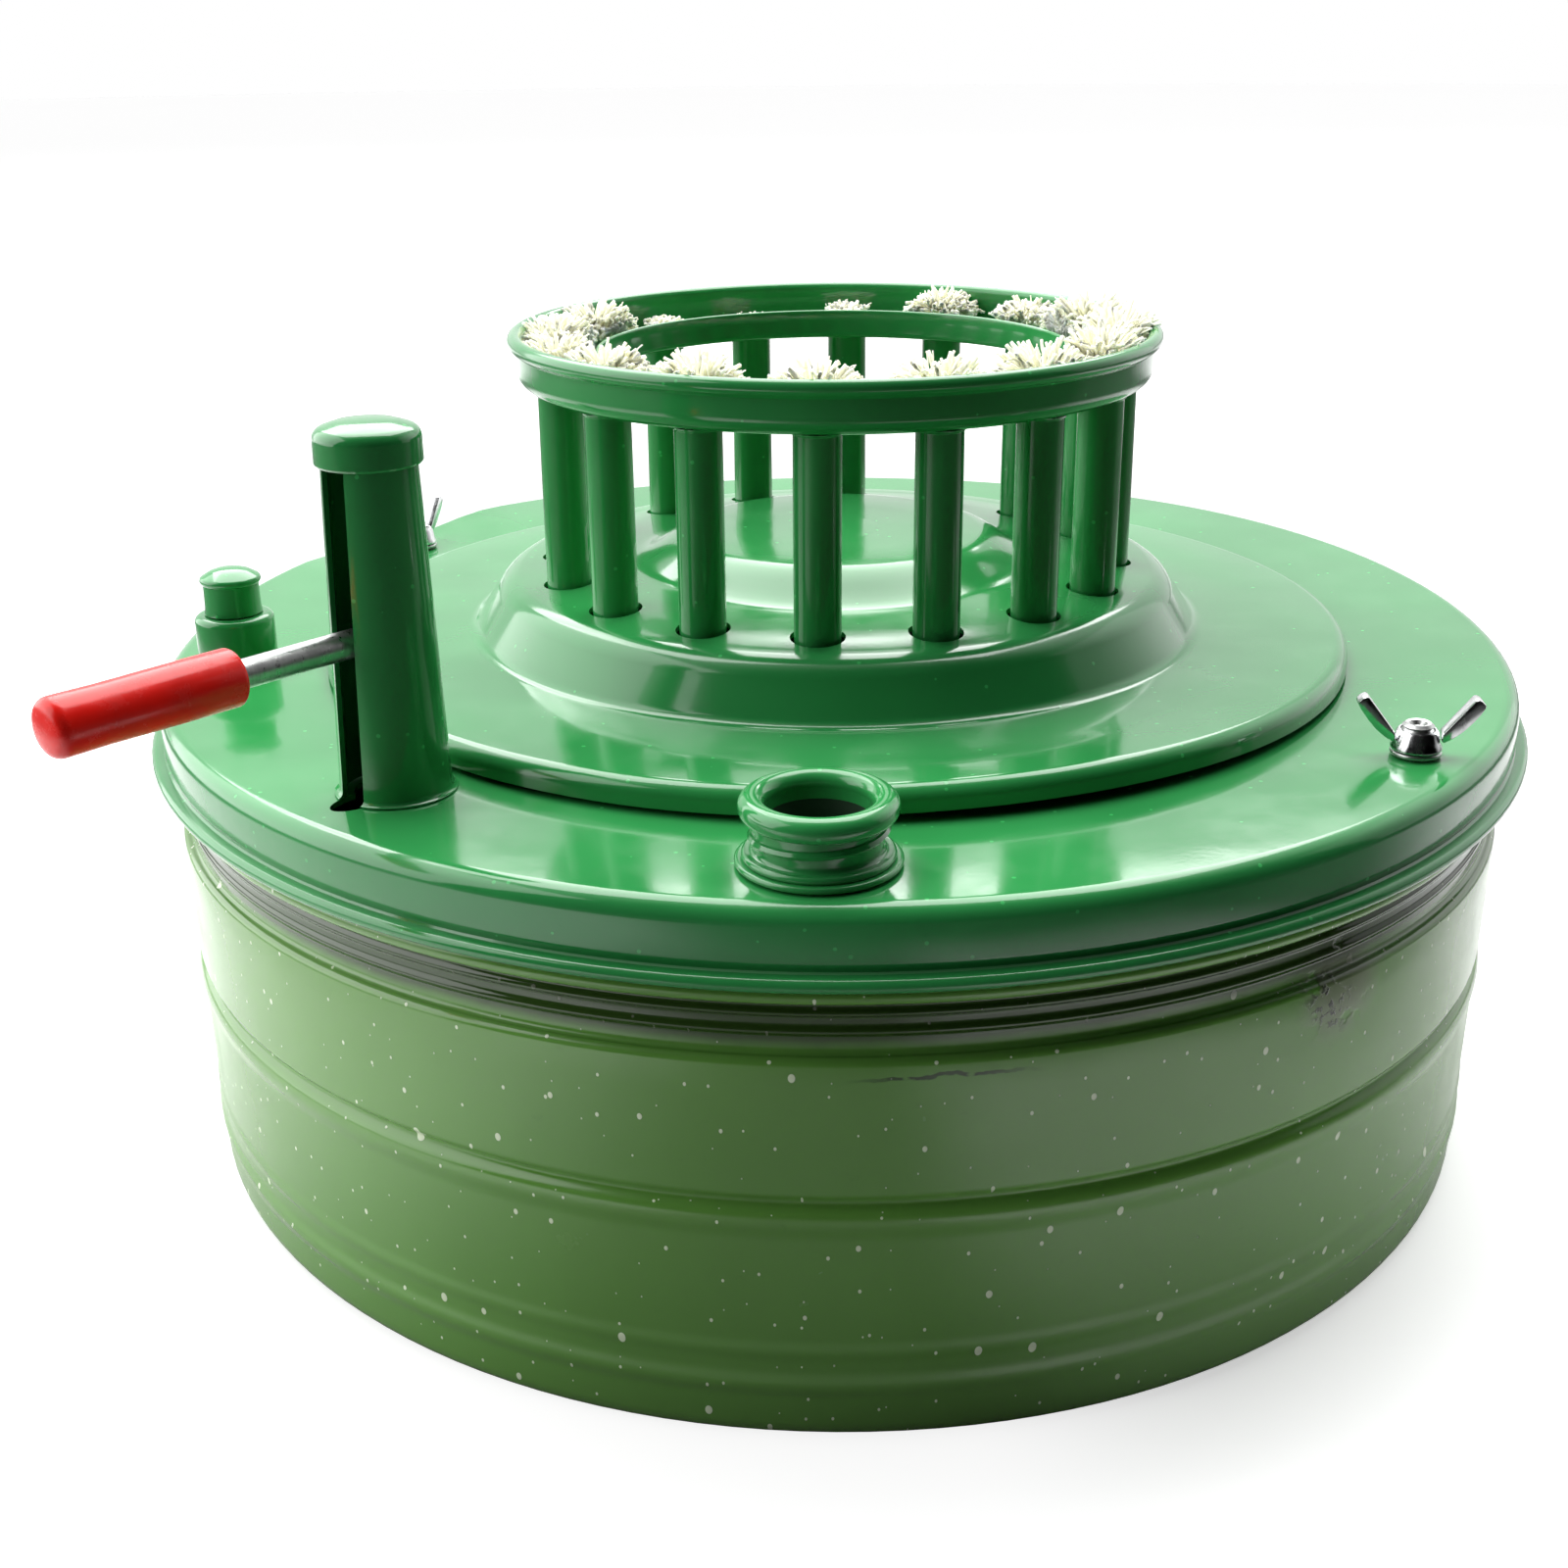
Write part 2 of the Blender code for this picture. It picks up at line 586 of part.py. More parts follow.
def build_tubes_and_wicks(stage):
    """Sixteen tubes from under the lid up to the trough, and the wick that slides in each."""
    tube = ring_profile(TUBE_BORE, TUBE_RADIUS, LID_UNDERSIDE - TUBE_TAIL,
                        TROUGH_BASE - CLEARANCE)
    wick = [
        (0.0, WICK_TOP),
        (WICK_RADIUS - WICK_CROWN, WICK_TOP),
        (WICK_RADIUS, WICK_TOP - WICK_CROWN),
        (WICK_RADIUS, WICK_BASE),
        (0.0, WICK_BASE),
    ]
    for index, azimuth in enumerate(tube_azimuths()):
        placing = {"at": polar(TUBE_CIRCLE, azimuth), "turn": facing(azimuth)}
        label = f"{index + 1:02d}"
        turned("wick_tube_" + label, tube, SMALL_SEGMENTS, stage.lid_enamel, stage.parts,
               parent=stage.lid_group, **placing)
        turned("wick_" + label, wick, WICK_SEGMENTS, stage.cotton, stage.parts,
               parent=stage.lifter_group, **placing)


def build_wick_carrier(stage):
    """Flanged ring in the tank that grips every wick."""
    path = [
        (CARRIER_BORE, CARRIER_TOP),
        (CARRIER_RADIUS, CARRIER_TOP),
        (CARRIER_RADIUS, CARRIER_TOP - CARRIER_FLANGE),
    ]
    carrier = turned("wick_carrier", sheet_profile(path, CARRIER_SHEET), LARGE_SEGMENTS,
                     stage.steel, stage.parts, parent=stage.lifter_group)
    low = CARRIER_HEIGHT - OVERRUN
    high = CARRIER_TOP + OVERRUN
    mesh = plug_mesh("carrier_wick_holes", tube_spots(), WICK_RADIUS + CLEARANCE, low, high,
                     WICK_SEGMENTS)
    combine(carrier, add_object("carrier_wick_holes", mesh, None, stage.cutters), "DIFFERENCE")
    mesh = plug_mesh("carrier_rivet_hole", [rivet_spot()], RIVET_RADIUS + CLEARANCE, low, high,
                     SMALL_SEGMENTS)
    combine(carrier, add_object("carrier_rivet_hole", mesh, None, stage.cutters), "DIFFERENCE")


def rivet_spot():
    """Where the lifter's arm is riveted to the wick carrier."""
    return polar(CARRIER_RADIUS - RIVET_EDGE, POST_AZIMUTH)


def build_lifter(stage):
    """Bent strap that hangs in the post and reaches in to the wick carrier, with its rivet."""
    placing = {"at": polar(POST_CIRCLE, POST_AZIMUTH), "turn": facing(POST_AZIMUTH)}
    half = STRAP_THICKNESS / 2
    arm_end = CARRIER_RADIUS - RIVET_EDGE - ARM_END - POST_CIRCLE
    outline = [
        (half, ROD_HEIGHT + STRAP_HEAD),
        (half, ARM_BASE),
        (arm_end, ARM_BASE),
        (arm_end, ARM_BASE + STRAP_THICKNESS),
        (-half, ARM_BASE + STRAP_THICKNESS),
        (-half, ROD_HEIGHT + STRAP_HEAD),
    ]
    mesh = outline_mesh("lifter_strap", outline, STRAP_WIDTH)
    strap = add_object("lifter_strap", mesh, stage.steel, stage.parts,
                       parent=stage.lifter_group, **placing)
    mesh = plug_mesh("strap_rivet_hole", [rivet_spot()], RIVET_RADIUS + CLEARANCE,
                     ARM_BASE - OVERRUN, ARM_BASE + STRAP_THICKNESS + OVERRUN, SMALL_SEGMENTS)
    combine(strap, add_object("strap_rivet_hole", mesh, None, stage.cutters), "DIFFERENCE")
    hole = turned("strap_rod_hole", rod_profile(ROD_RADIUS + CLEARANCE, -OVERRUN, OVERRUN),
                  SMALL_SEGMENTS, None, stage.cutters,
                  at=polar(POST_CIRCLE, POST_AZIMUTH, ROD_HEIGHT))
    hole.rotation_euler = (0.0, math.pi / 2, facing(POST_AZIMUTH))
    combine(strap, hole, "DIFFERENCE")
    arm_top = ARM_BASE + STRAP_THICKNESS + CLEARANCE
    carrier_base = CARRIER_HEIGHT - CLEARANCE
    profile = [
        (0.0, arm_top + RIVET_HEAD_HEIGHT),
        (RIVET_HEAD_RADIUS, arm_top + RIVET_HEAD_HEIGHT / 2),
        (RIVET_HEAD_RADIUS, arm_top),
        (RIVET_RADIUS, arm_top),
        (RIVET_RADIUS, carrier_base),
        (RIVET_HEAD_RADIUS, carrier_base),
        (RIVET_HEAD_RADIUS, carrier_base - RIVET_HEAD_HEIGHT / 2),
        (0.0, carrier_base - RIVET_HEAD_HEIGHT),
    ]
    turned("carrier_rivet", profile, SMALL_SEGMENTS, stage.zinc, stage.parts,
           at=rivet_spot(), parent=stage.lifter_group)


def build_lever(stage):
    """Round rod through the strap, a nut on each side of the strap, and the plastic grip."""
    spot = polar(POST_CIRCLE, POST_AZIMUTH, ROD_HEIGHT)
    lying = (0.0, math.pi / 2, facing(POST_AZIMUTH))
    grip_end = GRIP_START + GRIP_LENGTH
    rod_end = grip_end - GRIP_END_WALL - CLEARANCE
    rod = turned("lever_rod", rod_profile(ROD_RADIUS, -ROD_TAIL, rod_end), SMALL_SEGMENTS,
                 stage.zinc, stage.parts, at=spot, parent=stage.lifter_group)
    rod.rotation_euler = lying
    profile = [(0.0, grip_end)]
    profile += arc((GRIP_RADIUS - GRIP_FILLET, grip_end - GRIP_FILLET), GRIP_FILLET, 90.0, 0.0, 2)
    profile += arc((GRIP_RADIUS - GRIP_FILLET, GRIP_START + GRIP_FILLET), GRIP_FILLET, 0.0,
                   -90.0, 2)
    profile += [
        (ROD_RADIUS + CLEARANCE, GRIP_START),
        (ROD_RADIUS + CLEARANCE, grip_end - GRIP_END_WALL),
        (0.0, grip_end - GRIP_END_WALL),
    ]
    grip = turned("lever_grip", profile, MIDDLE_SEGMENTS, stage.red_plastic, stage.parts,
                  at=spot, parent=stage.lifter_group)
    grip.rotation_euler = lying
    near = STRAP_THICKNESS / 2 + CLEARANCE
    starts = {"rod_nut_outer": near, "rod_nut_inner": -near - NUT_HEIGHT}
    for name, start in starts.items():
        profile = ring_profile(ROD_RADIUS + CLEARANCE, NUT_RADIUS, start, start + NUT_HEIGHT)
        nut = turned(name, profile, 6, stage.zinc, stage.parts, at=spot,
                     parent=stage.lifter_group)
        nut.rotation_euler = lying
        bore = turned(name + "_bore",
                      rod_profile(ROD_RADIUS + CLEARANCE, start - OVERRUN,
                                  start + NUT_HEIGHT + OVERRUN),
                      SMALL_SEGMENTS, None, stage.cutters, at=spot)
        bore.rotation_euler = lying
        combine(nut, bore, "DIFFERENCE")


def build_post(stage):
    """Tapered sheet post with a slot towards the outside, and its crowned cap."""
    placing = {"at": polar(POST_CIRCLE, POST_AZIMUTH), "turn": facing(POST_AZIMUTH)}
    path = [(POST_TOP_RADIUS, POST_TOP), (POST_FOOT_RADIUS, ON_LID)]
    post = turned("lever_post", sheet_profile(path), MIDDLE_SEGMENTS, stage.lid_enamel,
                  stage.parts, parent=stage.lid_group, **placing)
    half = POST_SLOT_WIDTH / 2
    mesh = box_mesh("post_slot", (0.0, -half, LID_UNDERSIDE),
                    (POST_FOOT_RADIUS + OVERRUN, half, POST_TOP + OVERRUN))
    combine(post, add_object("post_slot", mesh, None, stage.cutters, **placing), "DIFFERENCE")
    cap_radius = POST_TOP_RADIUS + CLEARANCE + SHEET
    path = [(0.0, CAP_TOP)]
    path += arc((cap_radius - CAP_FILLET, CAP_TOP - CAP_CROWN - CAP_FILLET), CAP_FILLET,
                80.0, 0.0, 2)
    path.append((cap_radius, CAP_TOP - CAP_DEPTH))
    turned("post_cap", sheet_profile(path), MIDDLE_SEGMENTS, stage.lid_enamel, stage.parts,
           parent=stage.lid_group, **placing)


def build_filler(stage):
    """Open filler neck with a flange, a step, two thread ridges and a beaded rim."""
    placing = {"at": polar(FILLER_CIRCLE, FILLER_AZIMUTH), "turn": facing(FILLER_AZIMUTH)}
    top = ON_LID + FILLER_HEIGHT
    rim_base = top - FILLER_RIM_HEIGHT
    flange_top = ON_LID + FILLER_FLANGE_HEIGHT
    step_top = ON_LID + FILLER_STEP_HEIGHT
    ridge_radius = FILLER_RADIUS + FILLER_THREAD_REACH
    bead = FILLER_RIM_HEIGHT / 2
    profile = [(FILLER_BORE, top - bead)]
    profile += arc((FILLER_RADIUS + FILLER_RIM_REACH - bead, top - bead), bead, 90.0, 0.0, 2)
    profile.append((FILLER_RADIUS, rim_base))
    pitch = (rim_base - step_top) / 2
    for ridge in range(2):
        middle = rim_base - pitch * (ridge + 0.5)
        profile += [
            (FILLER_RADIUS, middle + FILLER_THREAD_HEIGHT / 2),
            (ridge_radius, middle),
            (FILLER_RADIUS, middle - FILLER_THREAD_HEIGHT / 2),
        ]
    profile += [
        (FILLER_RADIUS, step_top),
        (FILLER_RADIUS + FILLER_STEP_REACH, step_top),
        (FILLER_RADIUS + FILLER_STEP_REACH, flange_top),
        (FILLER_RADIUS + FILLER_FLANGE_REACH, flange_top),
        (FILLER_RADIUS + FILLER_FLANGE_REACH, ON_LID),
        (FILLER_BORE, ON_LID),
    ]
    turned("filler_neck", profile, MIDDLE_SEGMENTS, stage.lid_enamel, stage.parts,
           parent=stage.lid_group, **placing)


def build_gauge(stage):
    """Fuel gauge: housing on the lid, domed cap, guide rod down into the tank, and its float."""
    placing = {"at": polar(GAUGE_CIRCLE, GAUGE_AZIMUTH), "turn": facing(GAUGE_AZIMUTH)}
    guide_hole = GUIDE_RADIUS + CLEARANCE
    profile = [
        (guide_hole, GAUGE_TOP),
        (GAUGE_RADIUS - GAUGE_CHAMFER, GAUGE_TOP),
        (GAUGE_RADIUS, GAUGE_TOP - GAUGE_CHAMFER),
        (GAUGE_RADIUS, ON_LID + GAUGE_FLANGE_HEIGHT),
        (GAUGE_RADIUS + GAUGE_FLANGE_REACH, ON_LID),
        (guide_hole, ON_LID),
    ]
    turned("gauge_housing", profile, MIDDLE_SEGMENTS, stage.lid_enamel, stage.parts,
           parent=stage.lid_group, **placing)
    cap_base = GAUGE_TOP + CLEARANCE
    cap_top = cap_base + GAUGE_CAP_HEIGHT
    bead_radius = GAUGE_CAP_RADIUS + GAUGE_CAP_BEAD
    bead_height = cap_top - GAUGE_CAP_BEAD_DROP
    path = [
        (0.0, cap_top),
        (GAUGE_CAP_RADIUS / 2, cap_top - GAUGE_CAP_BEAD),
        (GAUGE_CAP_RADIUS - GAUGE_CAP_BEAD, bead_height + GAUGE_CAP_WALL),
        (bead_radius, bead_height),
        (GAUGE_CAP_RADIUS, bead_height - GAUGE_CAP_WALL),
        (GAUGE_CAP_RADIUS, cap_base),
    ]
    turned("gauge_cap", sheet_profile(path, GAUGE_CAP_WALL), MIDDLE_SEGMENTS, stage.lid_enamel,
           stage.parts, parent=stage.lid_group, **placing)
    profile = [
        (0.0, GUIDE_TOP),
        (GUIDE_COLLAR_RADIUS, GUIDE_TOP),
        (GUIDE_COLLAR_RADIUS, GUIDE_TOP - GUIDE_COLLAR_HEIGHT),
        (GUIDE_RADIUS, GUIDE_TOP - GUIDE_COLLAR_HEIGHT),
        (GUIDE_RADIUS, GUIDE_BASE + GUIDE_COLLAR_HEIGHT),
        (GUIDE_COLLAR_RADIUS, GUIDE_BASE + GUIDE_COLLAR_HEIGHT),
        (GUIDE_COLLAR_RADIUS, GUIDE_BASE),
        (0.0, GUIDE_BASE),
    ]
    turned("gauge_guide", profile, SMALL_SEGMENTS, stage.brass, stage.parts,
           parent=stage.lid_group, **placing)
    top = FLOAT_BASE + FLOAT_HEIGHT
    profile = [
        (guide_hole, top),
        (FLOAT_RADIUS - FLOAT_CHAMFER, top),
        (FLOAT_RADIUS, top - FLOAT_CHAMFER),
        (FLOAT_RADIUS, FLOAT_BASE + FLOAT_CHAMFER),
        (FLOAT_RADIUS - FLOAT_CHAMFER, FLOAT_BASE),
        (guide_hole, FLOAT_BASE),
    ]
    turned("gauge_float", profile, SMALL_SEGMENTS, stage.cork, stage.parts, **placing)


def wing_outline():
    """Both wings of the nut as one outline, with its base at height zero."""
    right = [(NUT_HUB_FOOT_RADIUS, WING_THICKNESS / 2)]
    right += [(WING_SPAN * across, WING_RISE * up) for across, up in WING_CORNER_SHARES]
    right.append((NUT_HUB_TOP_RADIUS / 2, NUT_HUB_HEIGHT - WING_THICKNESS / 2))
    left = [(-across, up) for across, up in reversed(right)]
    return right + left


def build_wing_nut(stage, side, azimuth):
    """Washer and wing nut on a lid stud."""
    spot = polar(STUD_CIRCLE, azimuth)
    bore = STUD_RADIUS + CLEARANCE
    turned("lid_washer_" + side,
           ring_profile(bore, WASHER_RADIUS, WASHER_BASE, WASHER_BASE + WASHER_HEIGHT),
           MIDDLE_SEGMENTS, stage.zinc, stage.parts, at=spot, parent=stage.lid_group)
    base = Vector((spot.x, spot.y, WING_NUT_BASE))
    turn = facing(azimuth) + math.radians(WING_TURNS[side])
    hub = [
        (0.0, NUT_HUB_HEIGHT),
        (NUT_HUB_TOP_RADIUS, NUT_HUB_HEIGHT),
        (NUT_HUB_FOOT_RADIUS, 0.0),
        (0.0, 0.0),
    ]
    nut = turned("wing_nut_" + side, hub, MIDDLE_SEGMENTS, stage.chrome, stage.parts,
                 at=base, turn=turn, parent=stage.lid_group)
    mesh = outline_mesh("nut_wings_" + side, wing_outline(), WING_THICKNESS)
    wings = add_object("nut_wings_" + side, mesh, None, stage.cutters, at=base, turn=turn)
    combine(nut, wings, "UNION")
    hole = turned("nut_bore_" + side, rod_profile(bore, -OVERRUN, WING_RISE + OVERRUN),
                  SMALL_SEGMENTS, None, stage.cutters, at=base)
    combine(nut, hole, "DIFFERENCE")


class Stage:
    """The collections, the finishes and the empties that carry the moving groups."""

    def __init__(self):
        self.parts = make_collection("kerosene_wick_stove")
        self.cutters = make_collection("cutters")
        self.lid_enamel = make_material("lid_enamel", (0.030, 0.275, 0.070), 0.16)
        self.tank_enamel = make_material("tank_enamel", (0.140, 0.370, 0.060), 0.22)
        self.steel = make_material("plain_steel", (0.42, 0.43, 0.42), 0.40, 0.9)
        self.zinc = make_material("zinc_plate", (0.62, 0.63, 0.62), 0.28, 0.9)
        self.chrome = make_material("wing_nut_chrome", (0.75, 0.76, 0.77), 0.18, 1.0)
        self.brass = make_material("gauge_brass", (0.70, 0.52, 0.22), 0.30, 1.0)
        self.cork = make_material("float_cork", (0.50, 0.31, 0.16), 0.90)
        self.cotton = make_material("wick_cotton", (0.86, 0.82, 0.66), 0.95)
        self.red_plastic = make_material("grip_plastic", (0.60, 0.015, 0.012), 0.30)
        self.lid_group = self.make_empty("lid_group", Vector((0.0, 0.0, LID_EDGE)))
        self.lifter_group = self.make_empty("wick_lifter_group",
                                            polar(POST_CIRCLE, POST_AZIMUTH, ROD_HEIGHT))

    def make_empty(self, name, spot):
        """An empty on a joint's axis."""
        holder = bpy.data.objects.new(name, None)
        holder.location = spot
        self.parts.objects.link(holder)
        return holder


def main():
    """Build the whole stove."""
    clear_scene()
    stage = Stage()
    build_tank(stage)
    for side, azimuth in STUD_AZIMUTHS.items():
        build_bracket(stage, side, azimuth)
        build_wing_nut(stage, side, azimuth)
    build_lid(stage)
    build_burner_plate(stage)
    build_wick_trough(stage)
    build_tubes_and_wicks(stage)
    build_wick_carrier(stage)
    build_lifter(stage)
    build_lever(stage)
    build_post(stage)
    build_filler(stage)
    build_gauge(stage)
    bpy.context.view_layer.update()


main()
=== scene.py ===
"""Kerosene wick stove: the pressed and enamelled pieces, the wicks and the fittings, over the
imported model, with the finishes, the floor, the light and the camera.

Metres, +Z up. The origin is the centre of the tank's flat base, and the front is -Y.
An azimuth is counted in degrees from the front towards the right (+X).
"""

import math
import random

import bpy
from bpy.props import FloatProperty, FloatVectorProperty, IntProperty, PointerProperty
from mathutils import Matrix, Vector


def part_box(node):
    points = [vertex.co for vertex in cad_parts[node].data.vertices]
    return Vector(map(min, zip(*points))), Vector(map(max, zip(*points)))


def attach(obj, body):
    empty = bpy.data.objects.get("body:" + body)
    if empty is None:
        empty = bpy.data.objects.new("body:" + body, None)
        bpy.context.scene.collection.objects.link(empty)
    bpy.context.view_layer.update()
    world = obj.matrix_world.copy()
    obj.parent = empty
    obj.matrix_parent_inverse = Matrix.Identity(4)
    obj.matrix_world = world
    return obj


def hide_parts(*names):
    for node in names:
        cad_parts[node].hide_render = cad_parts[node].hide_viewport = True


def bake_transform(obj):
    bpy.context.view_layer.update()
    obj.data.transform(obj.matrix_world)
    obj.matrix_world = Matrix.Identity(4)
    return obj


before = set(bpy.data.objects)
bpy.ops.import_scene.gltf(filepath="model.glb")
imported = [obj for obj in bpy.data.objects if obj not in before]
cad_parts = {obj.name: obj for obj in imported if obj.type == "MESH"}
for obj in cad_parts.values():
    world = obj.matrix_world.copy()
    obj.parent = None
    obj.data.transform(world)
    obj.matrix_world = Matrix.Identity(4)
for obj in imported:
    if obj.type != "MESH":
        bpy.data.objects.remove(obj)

bl_info = {
    "name": "Kerosene wick stove",
    "version": (1, 0, 0),
    "blender": (4, 5, 0),
    "location": "3D View > Sidebar > Stove",
    "description": "Enamelled shells, wicks, fittings and studio for the wick stove",
    "category": "Add Mesh",
}

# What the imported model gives
LID_LOW, LID_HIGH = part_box("tank_lid")
TANK_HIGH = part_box("tank_basin")[1]
PLATE_LOW, PLATE_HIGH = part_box("burner_plate")
TROUGH_LOW, TROUGH_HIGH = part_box("wick_trough")
POST_LOW, POST_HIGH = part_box("lever_post")
CAP_LOW, CAP_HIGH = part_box("post_cap")
CARRIER_LOW, CARRIER_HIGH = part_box("wick_carrier")
WICK_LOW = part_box("wick_01")[0]
TUBE_LOW, TUBE_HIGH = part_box("wick_tube_01")
FILLER_LOW, FILLER_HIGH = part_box("filler_neck")
GAUGE_LOW, GAUGE_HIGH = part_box("gauge_housing")
GAUGE_CAP_LOW, GAUGE_CAP_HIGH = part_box("gauge_cap")
FLOAT_LOW, FLOAT_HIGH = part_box("gauge_float")
STUD_LOW, STUD_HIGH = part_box("lid_stud_right")
WASHER_LOW, WASHER_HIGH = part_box("lid_washer_right")
NUT_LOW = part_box("wing_nut_right")[0]

TUBE_COUNT = 16
MERGE = 0.000002
GAUGE_HOLE, POST_HOLE = 0.0040, 0.0075
# The outer edge of the dome's flat top
CROWN_EDGE = 0.0655
# Each stud's azimuth, and how far its wing nut is turned
SIDES = {"right": (54.4, 30.0), "left": (-125.5, 107.0)}

WHITE, BLACK = (1.0, 1.0, 1.0), (0.0, 0.0, 0.0)
# The surroundings: how fast they darken to the right and lighten upwards, and their range
DARKER_RIGHT, LIGHTER_ABOVE = -0.30, 0.10
ROOM_RANGE = {"From Min": -0.30, "From Max": 0.42, "To Min": 0.0, "To Max": 1.08}
# Each lamp's place, width, height and power
LAMPS = {"left_box": ((-1.3, 0.10, 0.75), 2.2, 1.7, 25.0),
         "right_box": ((1.35, 0.55, 0.50), 1.5, 1.3, 2.5),
         "top_box": ((-0.10, 0.90, 1.60), 2.0, 2.0, 62.0)}
LAMP_TARGET = (0.0, 0.0, 0.09)
# The camera's place, its yaw, pitch and roll in degrees, its lens and its shift
CAMERA_PLACE = (-0.0007, -0.4225, 0.2342)
CAMERA_TURN = (-1.45, 21.28, 0.57)
CAMERA_LENS, CAMERA_SHIFT = 45.64, -0.0036


def length(name, default, text):
    """A length that a user may change."""
    return FloatProperty(name=name, default=default, min=0.0, precision=5, unit="LENGTH",
                         description=text)


def bearing(name, default, text):
    """An azimuth in degrees."""
    return FloatProperty(name=name, default=default, min=-360.0, max=360.0, description=text)


def count(name, default, text):
    """A whole number of steps or pieces."""
    return IntProperty(name=name, default=default, min=1, soft_max=512, description=text)


def tint(name, default, text):
    """A colour, as Blender's own linear values."""
    return FloatVectorProperty(name=name, default=default, size=3, min=0.0, max=1.0,
                               subtype="COLOR", description=text)


class StoveShellSizes(bpy.types.PropertyGroup):
    """The tank, the lid and the burner plate."""

    steps: count("Steps round", 144, "Steps round the tank, the lid and the plate")
    sheet: length("Sheet", 0.0010, "Thickness of the pressed sheet")
    neck_radius: length("Neck radius", 0.1403, "Outer radius of the tank's neck")
    body_radius: length("Body radius", 0.1423, "Outer radius of the tank under its shoulder")
    body_height: length("Body height", 0.0766, "Height of the tank's shoulder")
    draft: length("Draft", 0.0015, "How much the wall draws in towards the base")
    rim_height: length("Rim bead height", 0.0878, "Middle of the bead round the neck")
    rim_bead: length("Rim bead", 0.0016, "Half of the bead's height")
    neck_ridge: length("Neck ridges", 0.0005, "How far the two ridges stand out of the neck")
    foot_fillet: length("Foot fillet", 0.0040, "Rounding between the wall and the base")
    rib_height: length("Rib height", 0.0488, "Height of the groove round the wall")
    rib_depth: length("Rib depth", 0.0011, "Depth of the groove round the wall")
    rib_swell: length("Rib swell", 0.0006, "How far the swages stand out of the wall")
    foot_rib_height: length("Foot rib height", 0.0120, "Height of the swage near the base")
    base_dish: length("Base dish", 0.0009, "How far the middle of the base is raised")
    lid_fillet: length("Lid fillet", 0.0034, "Rounding between the lid and its skirt")
    skirt_radius: length("Skirt radius", 0.1440, "Outer radius of the lid's skirt")
    lid_roll: length("Lid roll", 0.0013, "Radius of the rolled edge of the lid")
    lid_sag: length("Lid sag", 0.0011, "How far the skirt hangs lower at the front")
    lid_rise: length("Lid rise", 0.0034, "How far the lid's edge bends up at the back")
    plate_lip: length("Plate lip", 0.0030, "Rounding of the burner plate's edge")
    plate_gap: length("Plate gap", 0.0011, "How far the plate's edge lifts at the front right")
    dome_radius: length("Dome radius", 0.0676, "Radius where the dome's shoulder starts")
    dome_fillet: length("Dome fillet", 0.0070, "Rounding of the dome's shoulder")
    dome_foot: length("Dome foot", 0.0787, "Radius of the dome's foot")
    dome_height: length("Dome height", 0.1220, "Height of the dome's top")
    dome_crown: length("Dome crown", 0.0012, "How far the dome's top swells to the middle")
    plate_height: length("Plate height", 0.1097, "Height of the plate round the dome")
    disc_radius: length("Disc radius", 0.03515, "Radius of the raised disc in the middle")
    disc_foot: length("Disc foot", 0.04365, "Radius of the raised disc's foot")


class StoveBurnerSizes(bpy.types.PropertyGroup):
    """The tubes, the trough and the wicks."""

    first_azimuth: bearing("First tube", -3.1, "Azimuth of the first tube")
    circle: length("Tube circle", 0.0589, "Radius of the circle of tubes")
    tube_radius: length("Tube radius", 0.0046, "Outer radius of a wick tube")
    tube_bore: length("Tube bore", 0.0036, "Inner radius of a wick tube")
    hole_slack: length("Hole slack", 0.0008, "Play between a tube and its hole in the dome")
    solder: length("Solder", 0.0004, "Size of the solder fillet under the trough")
    trough_radius: length("Trough radius", 0.06655, "Outer radius of the trough's wall")
    trough_bore: length("Trough bore", 0.04905, "Inner radius of the trough")
    trough_bead: length("Trough bead", 0.0016, "Radius of the bead round the trough")
    trough_fillet: length("Trough fillet", 0.0034, "Rounding under the trough")
    ply_radius: length("Ply radius", 0.00158, "Radius of each ply of a wick")
    ply_pitch: length("Ply pitch", 0.0150, "Length of one twist of a wick")
    yarn_radius: length("Yarn radius", 0.00038, "Radius of a yarn in a frayed tuft")
    inner_wall: length("Inner wall", 0.0064, "Height of the trough's inner wall")


